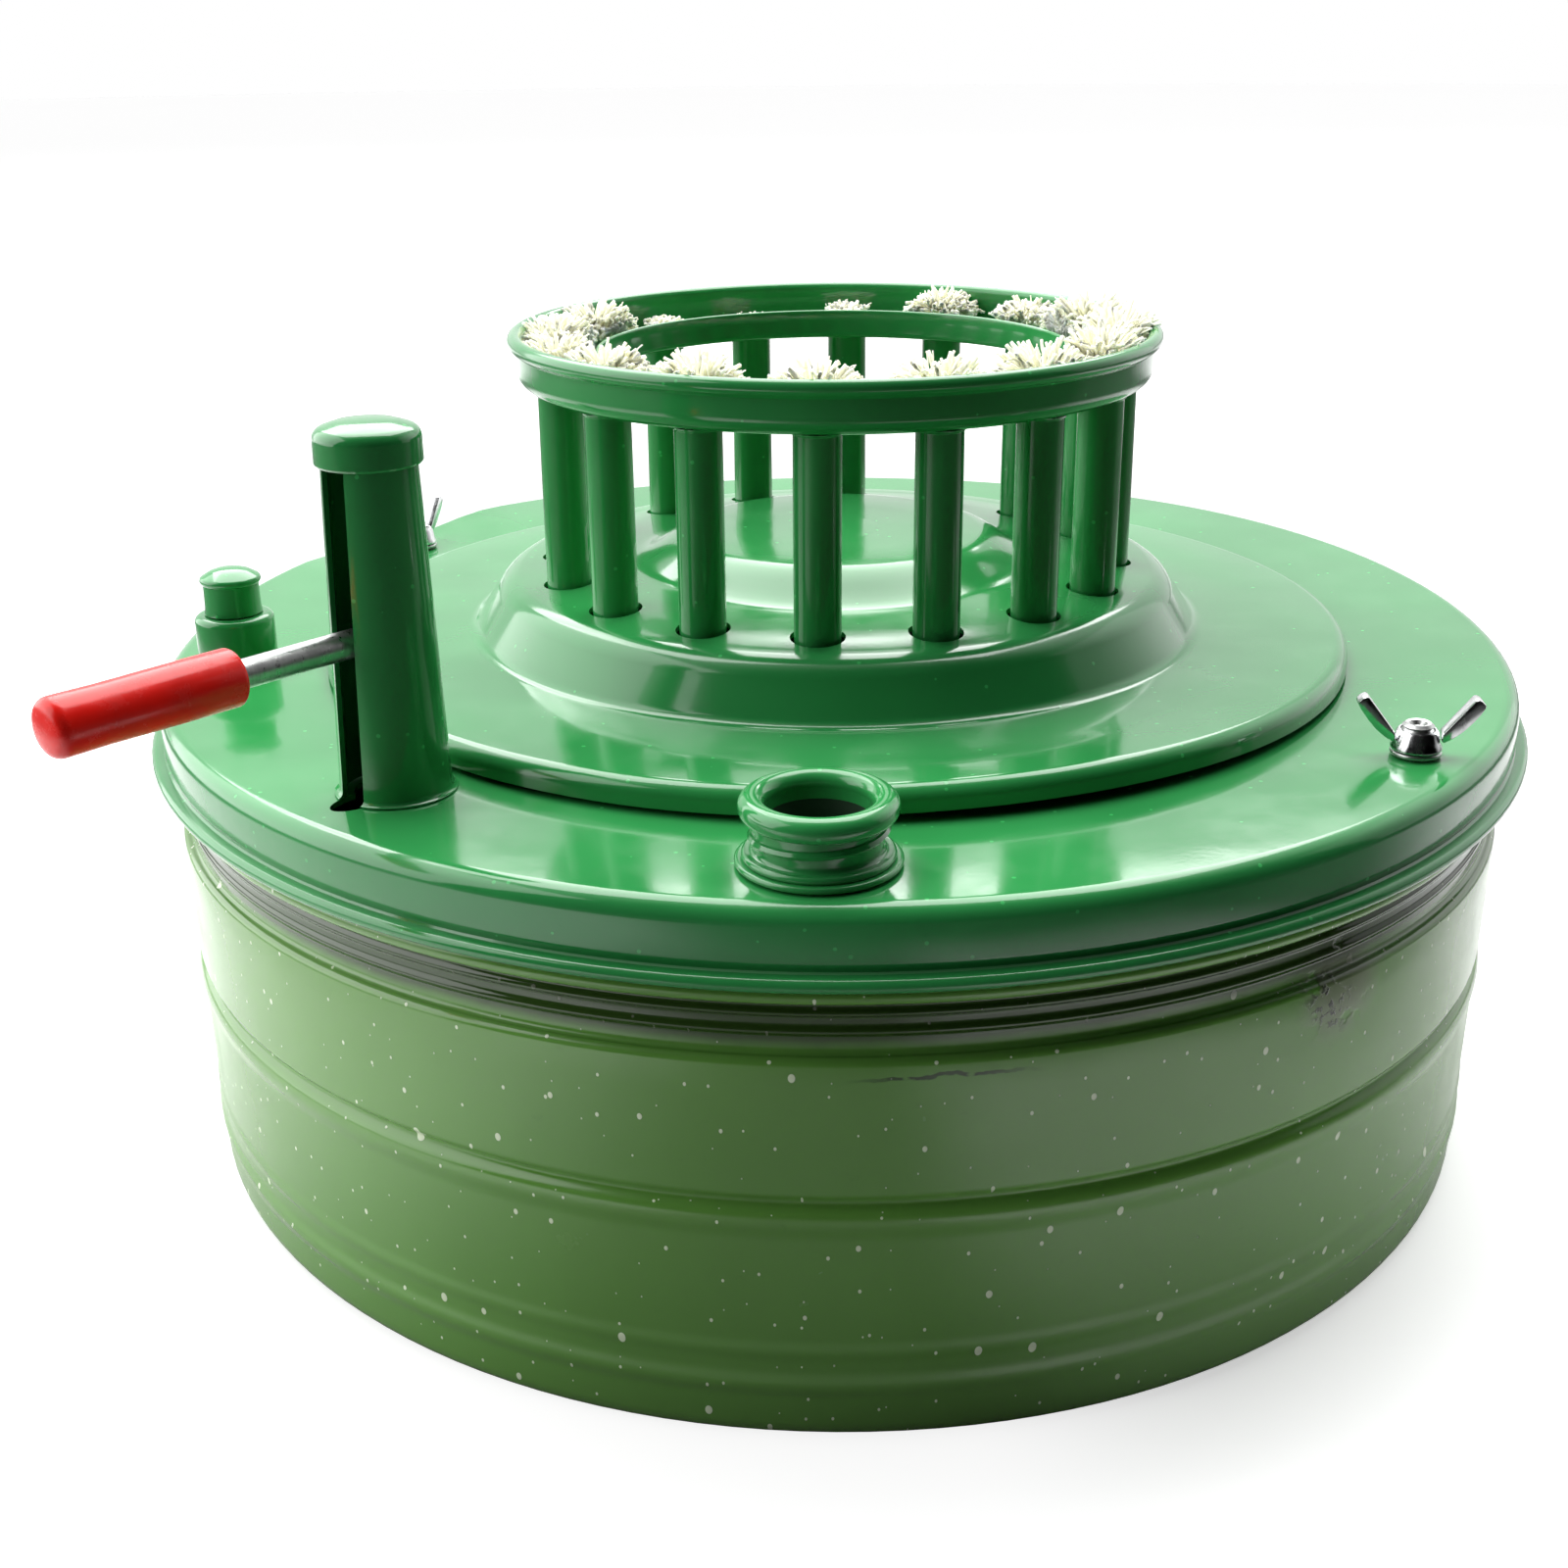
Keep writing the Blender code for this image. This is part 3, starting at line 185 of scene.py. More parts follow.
class StoveFittingSizes(bpy.types.PropertyGroup):
    """The post, the lever, the filler, the gauge and the fastenings."""

    post_azimuth: bearing("Post azimuth", -40.2, "Azimuth of the lever post")
    post_circle: length("Post circle", 0.1215, "Distance of the lever post from the middle")
    post_foot: length("Post foot", 0.0100, "Radius of the post at its foot")
    post_top: length("Post top", 0.0081, "Radius of the post at its top")
    post_slot: length("Post slot", 0.0060, "Width of the slot in the post")
    cap_radius: length("Cap radius", 0.0092, "Radius of the post's cap")
    rod_height: length("Rod height", 0.1327, "Height of the lever")
    rod_radius: length("Rod radius", 0.0025, "Radius of the lever")
    grip_start: length("Grip start", 0.0305, "Where the grip starts on the lever")
    grip_length: length("Grip length", 0.0340, "Length of the grip")
    grip_radius: length("Grip radius", 0.0050, "Radius of the grip")
    filler_azimuth: bearing("Filler azimuth", -1.2, "Azimuth of the filler neck")
    filler_circle: length("Filler circle", 0.1260, "Distance of the filler from the middle")
    filler_bore: length("Filler bore", 0.0083, "Inner radius of the filler neck")
    filler_wall: length("Filler wall", 0.0026, "Wall of the filler neck")
    filler_lip: length("Filler lip", 0.0022, "Radius of the filler's rolled lip")
    gauge_azimuth: bearing("Gauge azimuth", -80.6, "Azimuth of the fuel gauge")
    gauge_circle: length("Gauge circle", 0.1285, "Distance of the gauge from the middle")
    gauge_radius: length("Gauge radius", 0.0082, "Radius of the gauge's housing")
    gauge_cap_radius: length("Gauge cap radius", 0.0058, "Radius of the gauge's cap")
    stud_circle: length("Stud circle", 0.1317, "Distance of the studs from the middle")
    stud_radius: length("Stud radius", 0.0029, "Radius of a lid stud")
    wing_thickness: length("Wing thickness", 0.0046, "Thickness of a nut's wing before its insets")
    wing_rim: length("Wing rim", 0.0010, "Width of the first inset on a wing")


class StoveColours(bpy.types.PropertyGroup):
    """The finishes and the studio."""

    lid_green: tint("Lid enamel", (0.030, 0.275, 0.070), "Enamel of the lid and the burner")
    tank_green: tint("Tank enamel", (0.130, 0.330, 0.058), "Enamel of the tank")
    speck: tint("Specks", (0.80, 0.92, 0.66), "Drops of pale enamel on the tank")
    cotton: tint("Cotton", (0.98, 0.96, 0.71), "Wick cotton")
    grip_red: tint("Grip", (0.86, 0.014, 0.009), "Plastic of the grip")
    steel: tint("Steel", (0.40, 0.40, 0.39), "Bare steel")
    zinc: tint("Zinc", (0.56, 0.57, 0.56), "Zinc plate")
    chrome: tint("Chrome", (0.80, 0.81, 0.82), "Plating of the wing nuts")
    brass: tint("Brass", (0.68, 0.50, 0.21), "Guide of the gauge")
    cork: tint("Cork", (0.46, 0.29, 0.15), "Float of the gauge")
    floor: tint("Floor", (0.75, 0.75, 0.75), "Floor under the stove")


# Modelling


def deselect():
    """Leave edit mode with nothing selected."""
    if bpy.context.object and bpy.context.object.mode != "OBJECT":
        bpy.ops.object.mode_set(mode="OBJECT")
    bpy.ops.object.select_all(action="DESELECT")


def pick(piece):
    """Select one piece alone."""
    deselect()
    piece.select_set(True)
    bpy.context.view_layer.objects.active = piece


def name_piece(piece, name):
    """Give a piece and its mesh one name."""
    piece.name = name
    piece.data.name = name
    return piece


def start_line(name, points):
    """A new piece in edit mode, drawn as a line of edges by extruding one vertex."""
    deselect()
    bpy.ops.mesh.primitive_plane_add(size=0.001)
    piece = name_piece(bpy.context.object, name)
    bpy.ops.object.mode_set(mode="EDIT")
    bpy.ops.mesh.select_all(action="SELECT")
    bpy.ops.mesh.merge(type="CENTER")
    bpy.ops.transform.translate(value=points[0])
    for before, after in zip(points, points[1:]):
        step = [b - a for a, b in zip(before, after)]
        bpy.ops.mesh.extrude_region_move(TRANSFORM_OT_translate={"value": step})
    return piece


def tidy_mesh():
    """Merge doubles and point every face outwards, in edit mode."""
    bpy.ops.mesh.select_all(action="SELECT")
    bpy.ops.mesh.remove_doubles(threshold=MERGE)
    bpy.ops.mesh.normals_make_consistent(inside=False)


def smooth(piece, angle=34.0):
    """Smooth shading that keeps the sharp edges."""
    pick(piece)
    bpy.ops.object.shade_smooth_by_angle(angle=math.radians(angle))
    return piece


def spin_profile(name, profile, steps):
    """A turned piece. A profile that leaves the axis is closed."""
    points = [(radius, 0.0, height) for radius, height in profile]
    if profile[0][0] > 0.0:
        points.append(points[0])
    piece = start_line(name, points)
    bpy.ops.mesh.select_all(action="SELECT")
    bpy.ops.mesh.spin(steps=steps, angle=2.0 * math.pi, center=(0.0, 0.0, 0.0),
                      axis=(0.0, 0.0, 1.0))
    tidy_mesh()
    bpy.ops.object.mode_set(mode="OBJECT")
    return smooth(piece)


def settle(piece, at=(0.0, 0.0, 0.0), turn=(0.0, 0.0, 0.0)):
    """Put a piece in its place, with the place in its mesh."""
    pick(piece)
    piece.location = at
    piece.rotation_euler = turn
    bpy.ops.object.transform_apply(location=True, rotation=True, scale=True)
    return piece


def copy_of(piece, name):
    """A copy with its own mesh."""
    pick(piece)
    bpy.ops.object.duplicate(linked=False)
    return name_piece(bpy.context.object, name)


def together(pieces, name):
    """Join pieces into one."""
    pick(pieces[0])
    for piece in pieces:
        piece.select_set(True)
    bpy.ops.object.join()
    return name_piece(bpy.context.object, name)


def change(piece, kind, **settings):
    """Apply a modifier."""
    pick(piece)
    modifier = piece.modifiers.new(kind.lower(), kind)
    for key, value in settings.items():
        setattr(modifier, key, value)
    bpy.ops.object.modifier_apply(modifier=modifier.name)
    return piece


def cut(piece, tool):
    """Take a tool out of a piece."""
    change(piece, "BOOLEAN", operation="DIFFERENCE", solver="EXACT", object=tool)
    bpy.data.objects.remove(tool, do_unlink=True)
    return smooth(piece)


def soften(piece, width, segments=2, angle=40.0):
    """Round every sharp edge."""
    change(piece, "BEVEL", width=width, segments=segments, limit_method="ANGLE",
           angle_limit=math.radians(angle))
    return smooth(piece)


def drills(name, spots, radius, low, high, steps=32):
    """Upright round cutters at several places, as one tool."""
    tools = []
    for spot in spots:
        deselect()
        bpy.ops.mesh.primitive_cylinder_add(vertices=steps, radius=radius, depth=high - low,
                                            location=(spot[0], spot[1], (low + high) / 2))
        tools.append(bpy.context.object)
    return together(tools, name)


def block(name, low, high):
    """A cutter between two corners."""
    deselect()
    low, high = Vector(low), Vector(high)
    bpy.ops.mesh.primitive_cube_add(size=1.0, location=(low + high) / 2, scale=high - low)
    return name_piece(bpy.context.object, name)


def hand_over(piece, body, slot, finish, *nodes):
    """Give a finished piece its finish and its body, and hide the nodes it stands for."""
    piece.data.materials.clear()
    piece.data.materials.append(finish)
    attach(piece, body)
    if nodes:
        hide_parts(*nodes)
    return piece


def on_lid(piece, node):
    """Give a finished green piece of the lid its finish, and hide the node it stands for."""
    hand_over(piece, "lid", "lid_enamel", finish_of("green_enamel"), node)


def refinish(finish, *nodes):
    """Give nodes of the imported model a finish."""
    for node in nodes:
        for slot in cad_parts[node].material_slots:
            slot.material = finish


def polar(radius, azimuth, height=0.0):
    """The point at a radius and an azimuth, at a height."""
    angle = math.radians(azimuth)
    return Vector((radius * math.sin(angle), -radius * math.cos(angle), height))


def facing(azimuth):
    """The turn about Z that points a piece's +X along an azimuth."""
    return math.radians(azimuth - 90.0)


def arc(centre, radius, start, end, steps=8):
    """Points round a corner of a profile, from one angle in degrees to another."""
    points = []
    for step in range(steps + 1):
        angle = math.radians(start + (end - start) * step / steps)
        points.append((centre[0] + radius * math.cos(angle),
                       centre[1] + radius * math.sin(angle)))
    return points


def ease(share):
    """A rise from nought to one with level ends."""
    share = min(max(share, 0.0), 1.0)
    return share * share * (3.0 - 2.0 * share)


def slope(start, end, steps=8):
    """Points of a soft step between two points of a profile."""
    return [(start[0] + (end[0] - start[0]) * step / steps,
             start[1] + (end[1] - start[1]) * ease(step / steps)) for step in range(steps + 1)]


def inside_of(path, distance):
    """A path moved to the right of its own direction."""
    runs = [(Vector(after) - Vector(before)).normalized()
            for before, after in zip(path, path[1:])]
    moved = []
    for index, point in enumerate(path):
        first = runs[max(index - 1, 0)]
        second = runs[min(index, len(runs) - 1)]
        along = (first + second).normalized()
        side = Vector((along.y, -along.x)) * (distance / max(along.dot(first), 0.4))
        if point[0] == 0.0:
            side = Vector((0.0, distance))
        moved.append((point[0] + side.x, point[1] + side.y))
    return moved


def tube_azimuths(burner):
    """The azimuth of each wick tube."""
    return [burner.first_azimuth + index * 360.0 / TUBE_COUNT for index in range(TUBE_COUNT)]


def tube_spots(burner):
    """The centre of each wick tube."""
    return [polar(burner.circle, azimuth) for azimuth in tube_azimuths(burner)]


# Finishes


class Wire:
    """An output of a finish's nodes, used in sums as a number is."""

    def __init__(self, finish, socket):
        self.finish = finish
        self.socket = socket

    def sum(self, operation, first, second=0.0):
        """One Math node."""
        return self.finish.sum(operation, first, second)

    def __add__(self, other):
        return self.sum("ADD", self, other)

    __radd__ = __add__

    def __sub__(self, other):
        return self.sum("SUBTRACT", self, other)

    def __rsub__(self, other):
        return self.sum("SUBTRACT", other, self)

    def __mul__(self, other):
        return self.sum("MULTIPLY", self, other)

    __rmul__ = __mul__

    def __pow__(self, other):
        return self.sum("POWER", self, other)

    def below(self, other):
        """One where this is under the other."""
        return self.sum("LESS_THAN", self, other)

    def above(self, other):
        """One where this is over the other."""
        return self.sum("GREATER_THAN", self, other)

    def size(self):
        """Without its sign."""
        return self.sum("ABSOLUTE", self)

    def between(self, low, high, start=0.0, end=1.0):
        """This, carried from one range to another and held there."""
        return self.finish.node("ShaderNodeMapRange", {"interpolation_type": "SMOOTHSTEP"},
                                {"Value": self, "From Min": low, "From Max": high,
                                 "To Min": start, "To Max": end})


class Finish:
    """A material on a Principled shader, with its patterns on the object's own place."""

    def __init__(self, name):
        self.material = bpy.data.materials.new(name)
        self.material.use_nodes = True
        self.tree = self.material.node_tree
        self.shader = self.tree.nodes["Principled BSDF"]
        self.place = self.node("ShaderNodeTexCoord", output="Object")

    def put(self, socket, value):
        """Set a socket, or link it."""
        if isinstance(value, Wire):
            self.tree.links.new(value.socket, socket)
        elif hasattr(socket.default_value, "__len__") and len(value) < len(
                socket.default_value):
            socket.default_value = (*value, 1.0)
        else:
            socket.default_value = value

    def node(self, kind, settings=None, inputs=None, output=0):
        """A node with its settings and its inputs."""
        made = self.tree.nodes.new(kind)
        for key, value in (settings or {}).items():
            setattr(made, key, value)
        for key, value in (inputs or {}).items():
            self.put(made.inputs[key], value)
        return Wire(self, made.outputs[output])

    def set(self, **inputs):
        """Inputs of the shader itself."""
        for key, value in inputs.items():
            self.put(self.shader.inputs[key.replace("_", " ")], value)

    def noise(self, scale, detail=2.0, roughness=0.5, place=None):
        """Cloudy pattern, with so many clouds to the metre."""
        return self.node("ShaderNodeTexNoise", None,
                         {"Vector": place or self.place, "Scale": scale, "Detail": detail,
                          "Roughness": roughness})

    def stretched(self, scale):
        """The object's own place, stretched."""
        return self.node("ShaderNodeMapping", {"vector_type": "POINT"},
                         {"Vector": self.place, "Scale": scale})

    def sum(self, operation, first, second=0.0):
        """One Math node."""
        return self.node("ShaderNodeMath", {"operation": operation}, {0: first, 1: second})

    def cells(self, scale, place=None, across="3D"):
        """Distance to the nearest of scattered points, and two random numbers for it."""
        made = self.node("ShaderNodeTexVoronoi",
                         {"feature": "F1", "voronoi_dimensions": across},
                         {"Vector": place or self.place, "Scale": scale}, output="Distance")
        colour = Wire(self, made.socket.node.outputs["Color"])
        parts = self.node("ShaderNodeSeparateColor", None, {"Color": colour})
        return made, parts, Wire(self, parts.socket.node.outputs[1])

    def mix(self, share, first, second):
        """Two colours mixed."""
        made = self.tree.nodes.new("ShaderNodeMix")
        made.data_type = "RGBA"
        sockets = {item.identifier: item for item in made.inputs}
        self.put(sockets["Factor_Float"], share)
        self.put(sockets["A_Color"], first)
        self.put(sockets["B_Color"], second)
        return Wire(self, [item for item in made.outputs if item.identifier
                           == "Result_Color"][0])

    def axes(self, place=None):
        """The three parts of a place."""
        parts = self.node("ShaderNodeSeparateXYZ", None, {"Vector": place or self.place})
        outputs = parts.socket.node.outputs
        return [Wire(self, outputs[index]) for index in range(3)]

    def spot(self, centre, reach):
        """A soft round mask about a place, one in the middle."""
        away = self.node("ShaderNodeVectorMath", {"operation": "DISTANCE"},
                         {0: self.place, 1: centre}, output="Value")
        return away.between(reach * 0.35, reach, 1.0, 0.0)

    def relief(self, height):
        """Relief, in metres."""
        self.set(Normal=self.node("ShaderNodeBump", None,
                                  {"Strength": 1.0, "Distance": 1.0, "Height": height}))


def shade(colour, share):
    """A colour made darker or lighter."""
    return tuple(min(part * share, 1.0) for part in colour)


def enamel(name, colour, gloss, peel, bore=None):
    """Dipped enamel on pressed sheet: cloudy, a little wavy, with dust in it, and painted shade
    that darkens the inside of a bore to near black."""
    finish = Finish(name)
    cloud = finish.noise(14.0, 3.0)
    smear = finish.noise(55.0, 5.0, 0.62)
    dust, pick_one, _ = finish.cells(420.0)
    dust = dust.below(0.16) * pick_one.above(0.90)
    tone = finish.mix(cloud.between(0.30, 0.72), shade(colour, 0.86), shade(colour, 1.12))
    tone = finish.mix(dust * 0.45, tone, shade(colour, 2.6))
    grime = finish.noise(180.0, 6.0, 0.7).between(0.64, 0.80)
    tone = finish.mix(grime * 0.25, tone, shade(colour, 0.45))
    rough = smear.between(0.35, 0.75, gloss, gloss + 0.12)
    if bore:
        centre, radius, height = bore
        across, along, up = finish.axes()
        across, along = across - centre.x, along - centre.y
        # Painted shade: inside the bore, below its top, the colour goes near black and rougher,
        # where shade falls.
        painted_bore_shade = finish.sum("SQRT", across * across + along * along).below(
            radius) * up.below(height)
        tone = finish.mix(painted_bore_shade * 0.92, tone, (0.006, 0.012, 0.007))
        rough = rough + painted_bore_shade * 0.5
    finish.set(Base_Color=tone, Roughness=rough, Coat_Weight=0.35, Coat_Roughness=0.06,
               IOR=1.52)
    finish.relief(finish.noise(26.0, 2.0) * 0.00035 + finish.noise(700.0, 2.0) * peel
                  + dust * 0.00003)
    return finish.material


def tank_enamel(name, colours):
    """Olive enamel with scattered pale drops, a scratch and a smear of sealant, and painted shade
    on the neck under the lid's edge.
    """
    finish = Finish(name)
    colour = colours.tank_green
    cloud = finish.noise(11.0, 3.0)
    tone = finish.mix(cloud.between(0.30, 0.72), shade(colour, 0.90), shade(colour, 1.10))
    across, along, up = finish.axes()
    reach = finish.sum("SQRT", across * across + along * along)
    round_wall = finish.sum("ARCTAN2", across, along * -1.0) * 0.142
    drops = 0.0
    for scale, keep, small, large in ((110.0, 0.40, 0.030, 0.080), (46.0, 0.45, 0.022, 0.052),
                                      (210.0, 0.60, 0.030, 0.070)):
        place = finish.node("ShaderNodeCombineXYZ", None,
                            {0: round_wall + scale * 0.01, 1: (up - reach) * 0.74})
        away, chance, girth = finish.cells(scale, place, "2D")
        size = girth ** 3.0 * (large - small) + small
        drops = (size - away).between(0.0, 0.006) * chance.above(keep) + drops
    tone = finish.mix(drops, tone, colours.speck)
    wobble = finish.noise(160.0, 3.0) * 0.0030
    line = (up + wobble - 0.0742 - across * 0.02).size().between(0.0002, 0.0005, 1.0, 0.0)
    scratch = line * finish.spot((0.018, -0.1420, 0.0730), 0.018) * finish.noise(
        300.0, 2.0).between(0.34, 0.48)
    smear = finish.spot((0.088, -0.1110, 0.0745), 0.0130) * finish.noise(
        150.0, 5.0).between(0.36, 0.44)
    crust = smear * finish.spot((0.084, -0.1140, 0.0695), 0.0105) * finish.noise(
        520.0, 4.0, 0.6).between(0.53, 0.60)
    tone = finish.mix(smear * 0.80, tone, (0.19, 0.22, 0.13))
    tone = finish.mix(scratch * 0.85 + crust, tone, (0.012, 0.022, 0.008))
    grime = finish.noise(170.0, 6.0, 0.7).between(0.62, 0.80)
    tone = finish.mix(grime * 0.22, tone, shade(colour, 0.5))
    # Painted shade: the neck band under the lid's edge goes near black and glossier, standing in
    # for the lid's shadow.
    edge = up + (finish.noise(60.0, 4.0) - 0.5) * 0.0012
    painted_neck_shade = edge.between(0.0770, 0.0796) * edge.between(0.0860, 0.0868, 1.0, 0.0)
    tone = finish.mix(painted_neck_shade * 0.84, tone, (0.012, 0.022, 0.004))
    rough = finish.noise(48.0, 5.0, 0.6).between(0.35, 0.75, 0.14, 0.28) - painted_neck_shade * 0.10
    finish.set(Base_Color=tone, Roughness=rough, Coat_Weight=0.3, Coat_Roughness=0.08,
               IOR=1.52)
    finish.relief(finish.noise(22.0, 2.0) * 0.00035 + finish.noise(650.0, 2.0) * 0.000012
                  + drops * 0.00006 + smear * 0.00012 + crust * 0.0001)
    return finish.material


def plated(name, colour, gloss, grain, relief=0.000006):
    """Plated or bare metal, with drawn streaks and small dull patches."""
    finish = Finish(name)
    streaks = finish.noise(grain, 3.0, 0.6, finish.stretched((1.0, 1.0, 0.12)))
    patch = finish.noise(210.0, 4.0, 0.6)
    tone = finish.mix(patch.between(0.35, 0.70), shade(colour, 0.80), shade(colour, 1.10))
    tone = finish.mix(streaks.between(0.45, 0.70) * 0.4, tone, shade(colour, 0.66))
    finish.set(Base_Color=tone, Metallic=patch.between(0.60, 0.85, 1.0, 0.85),
               Roughness=streaks.between(0.30, 0.70, gloss, gloss + 0.16))
    finish.relief(streaks * relief + finish.noise(900.0, 2.0) * relief)
    return finish.material


def cotton(name, colour):
    """Frayed cotton yarn."""
    finish = Finish(name)
    fibre = finish.noise(2600.0, 3.0, 0.6, finish.stretched((1.0, 1.0, 0.35)))
    cloud = finish.noise(150.0, 3.0)
    tone = finish.mix(cloud.between(0.30, 0.70), shade(colour, 0.92), shade(colour, 1.06))
    tone = finish.mix(fibre.between(0.50, 0.75) * 0.4, tone, shade(colour, 0.82))
    finish.set(Base_Color=tone, Roughness=fibre.between(0.3, 0.7, 0.82, 0.98),
               Sheen_Weight=0.4, Sheen_Roughness=0.5, Subsurface_Weight=0.8,
               Subsurface_Radius=(0.0060, 0.0056, 0.0036), Subsurface_Scale=1.0,
               Specular_IOR_Level=0.2)
    finish.relief(fibre * 0.00010)
    return finish.material


def moulded(name, colour, gloss):
    """Soft moulded plastic."""
    finish = Finish(name)
    cloud = finish.noise(70.0, 3.0)
    scuff = finish.noise(260.0, 5.0, 0.7)
    tone = finish.mix(cloud.between(0.30, 0.70), shade(colour, 0.86), shade(colour, 1.10))
    tone = finish.mix(scuff.between(0.62, 0.80) * 0.25, tone, shade(colour, 0.5))
    finish.set(Base_Color=tone, Roughness=scuff.between(0.40, 0.70, gloss, gloss + 0.18),
               Coat_Weight=0.1, Coat_Roughness=0.12, Specular_IOR_Level=0.35)
    finish.relief(finish.noise(800.0, 2.0) * 0.00001 + cloud * 0.0001)
    return finish.material


def cork(name, colour):
    """Granular cork."""
    finish = Finish(name)
    away, chance, _ = finish.cells(650.0)
    tone = finish.mix(chance, shade(colour, 0.62), shade(colour, 1.30))
    pits = finish.noise(420.0, 4.0, 0.7).between(0.62, 0.72)
    tone = finish.mix(pits, tone, shade(colour, 0.28))
    finish.set(Base_Color=tone, Roughness=pits.between(0.0, 1.0, 0.78, 0.95))
    finish.relief(away * -0.00012 - pits * 0.00025)
    return finish.material


def finish_of(name):
    """One of the stove's finishes, made when it is first asked for."""
    if name in bpy.data.materials:
        return bpy.data.materials[name]
    colours = bpy.context.scene.stove_colours
    fittings = bpy.context.scene.stove_fittings
    makers = {
        "green_enamel": lambda: enamel(name, colours.lid_green, 0.10, 0.000008),
        "neck_enamel": lambda: enamel(name, colours.lid_green, 0.10, 0.000008, (
            polar(fittings.filler_circle, fittings.filler_azimuth),
            fittings.filler_bore + 0.0003, FILLER_HIGH.z - 0.0020)),
        "olive_enamel": lambda: tank_enamel(name, colours),
        "bare_steel": lambda: plated(name, colours.steel, 0.34, 900.0),
        "bright_zinc": lambda: plated(name, colours.zinc, 0.26, 1100.0),
        "nut_chrome": lambda: plated(name, colours.chrome, 0.12, 700.0, 0.000003),
        "guide_brass": lambda: plated(name, colours.brass, 0.24, 900.0),
        "float_granules": lambda: cork(name, colours.cork),
        "cotton_yarn": lambda: cotton(name, colours.cotton),
        "red_sleeve": lambda: moulded(name, colours.grip_red, 0.16),
    }
    return makers[name]()


# The shells


def rib(height, middle, half, reach):
    """How far a rounded swage stands out of the wall at a height."""
    share = abs(height - middle) / half
    return reach * (0.5 + 0.5 * math.cos(math.pi * share)) if share < 1.0 else 0.0


class StoveTank(bpy.types.Operator):
    """Draw the tank: neck with its bead, shoulder, two swages, rounded foot and dished base"""

    bl_idname = "stove.tank"
    bl_label = "Tank"

    def execute(self, context):
        """Build it."""
        sizes = context.scene.stove_shells
        sheet, neck, body = sizes.sheet, sizes.neck_radius, sizes.body_radius
        top = TANK_HIGH.z
        bead = sizes.rim_bead
        bead_middle = TANK_HIGH.x - bead
        rim = sizes.rim_height
        path = arc((neck - sheet / 2, top - sheet / 2), sheet / 2, 90.0, 0.0, 4)
        path += [(neck, rim + bead + 0.0012)]
        path += arc((bead_middle, rim), bead, 80.0, -80.0, 14)
        path += arc((neck + 0.0008, rim - bead - 0.0010), 0.0008, 150.0, 180.0, 3)
        shoulder = sizes.body_height
        for step in range(26):
            height = rim - bead - 0.0014 - 0.00025 * step
            path.append((neck + rib(height, shoulder + 0.0074, 0.0011, sizes.neck_ridge)
                         + rib(height, shoulder + 0.0041, 0.0012, sizes.neck_ridge), height))
        path += arc((neck + 0.0010, shoulder + 0.0010), 0.0010, 180.0, 262.0, 6)
        path += arc((body - 0.0015, shoulder - 0.0016), 0.0015, 84.0, 4.0, 8)
        foot = sizes.foot_fillet

        def wall(height):
            radius = body - sizes.draft * (1.0 - height / shoulder)
            radius -= rib(height, sizes.rib_height, 0.0021, sizes.rib_depth)
            radius += rib(height, sizes.rib_height - 0.0036, 0.0036, sizes.rib_swell)
            radius += rib(height, sizes.foot_rib_height, 0.0030, sizes.rib_swell)
            return radius + rib(height, sizes.foot_rib_height + 0.0070, 0.0024,
                                sizes.rib_swell * 0.5)

        heights = [0.0700, 0.0640, 0.0580, 0.0540, 0.0515]
        heights += [0.0512 - 0.00035 * step for step in range(36)]
        heights += [0.0360, 0.0310, 0.0260, 0.0225]
        heights += [0.0218 - 0.0005 * step for step in range(29)]
        path += [(wall(height), height) for height in heights if height > foot + 0.0005]
        path += arc((wall(foot) - foot, foot), foot, 0.0, -90.0, 8)
        edge = wall(foot) - foot - 0.0040
        path += slope((edge, 0.0), (edge - 0.0060, sizes.base_dish), 6)
        path += slope((0.0680, sizes.base_dish), (0.0640, sizes.base_dish * 0.45), 5)
        path += slope((0.0600, sizes.base_dish * 0.45), (0.0560, sizes.base_dish), 5)
        path.append((0.0, sizes.base_dish))
        inner = inside_of(path[4:], sheet)[::-1]
        shell = spin_profile("tank_shell", inner + [(neck - sheet, top - sheet / 2)] + path,
                             sizes.steps)
        hand_over(shell, "tank", "tank_enamel", finish_of("olive_enamel"), "tank_basin")
        return {"FINISHED"}


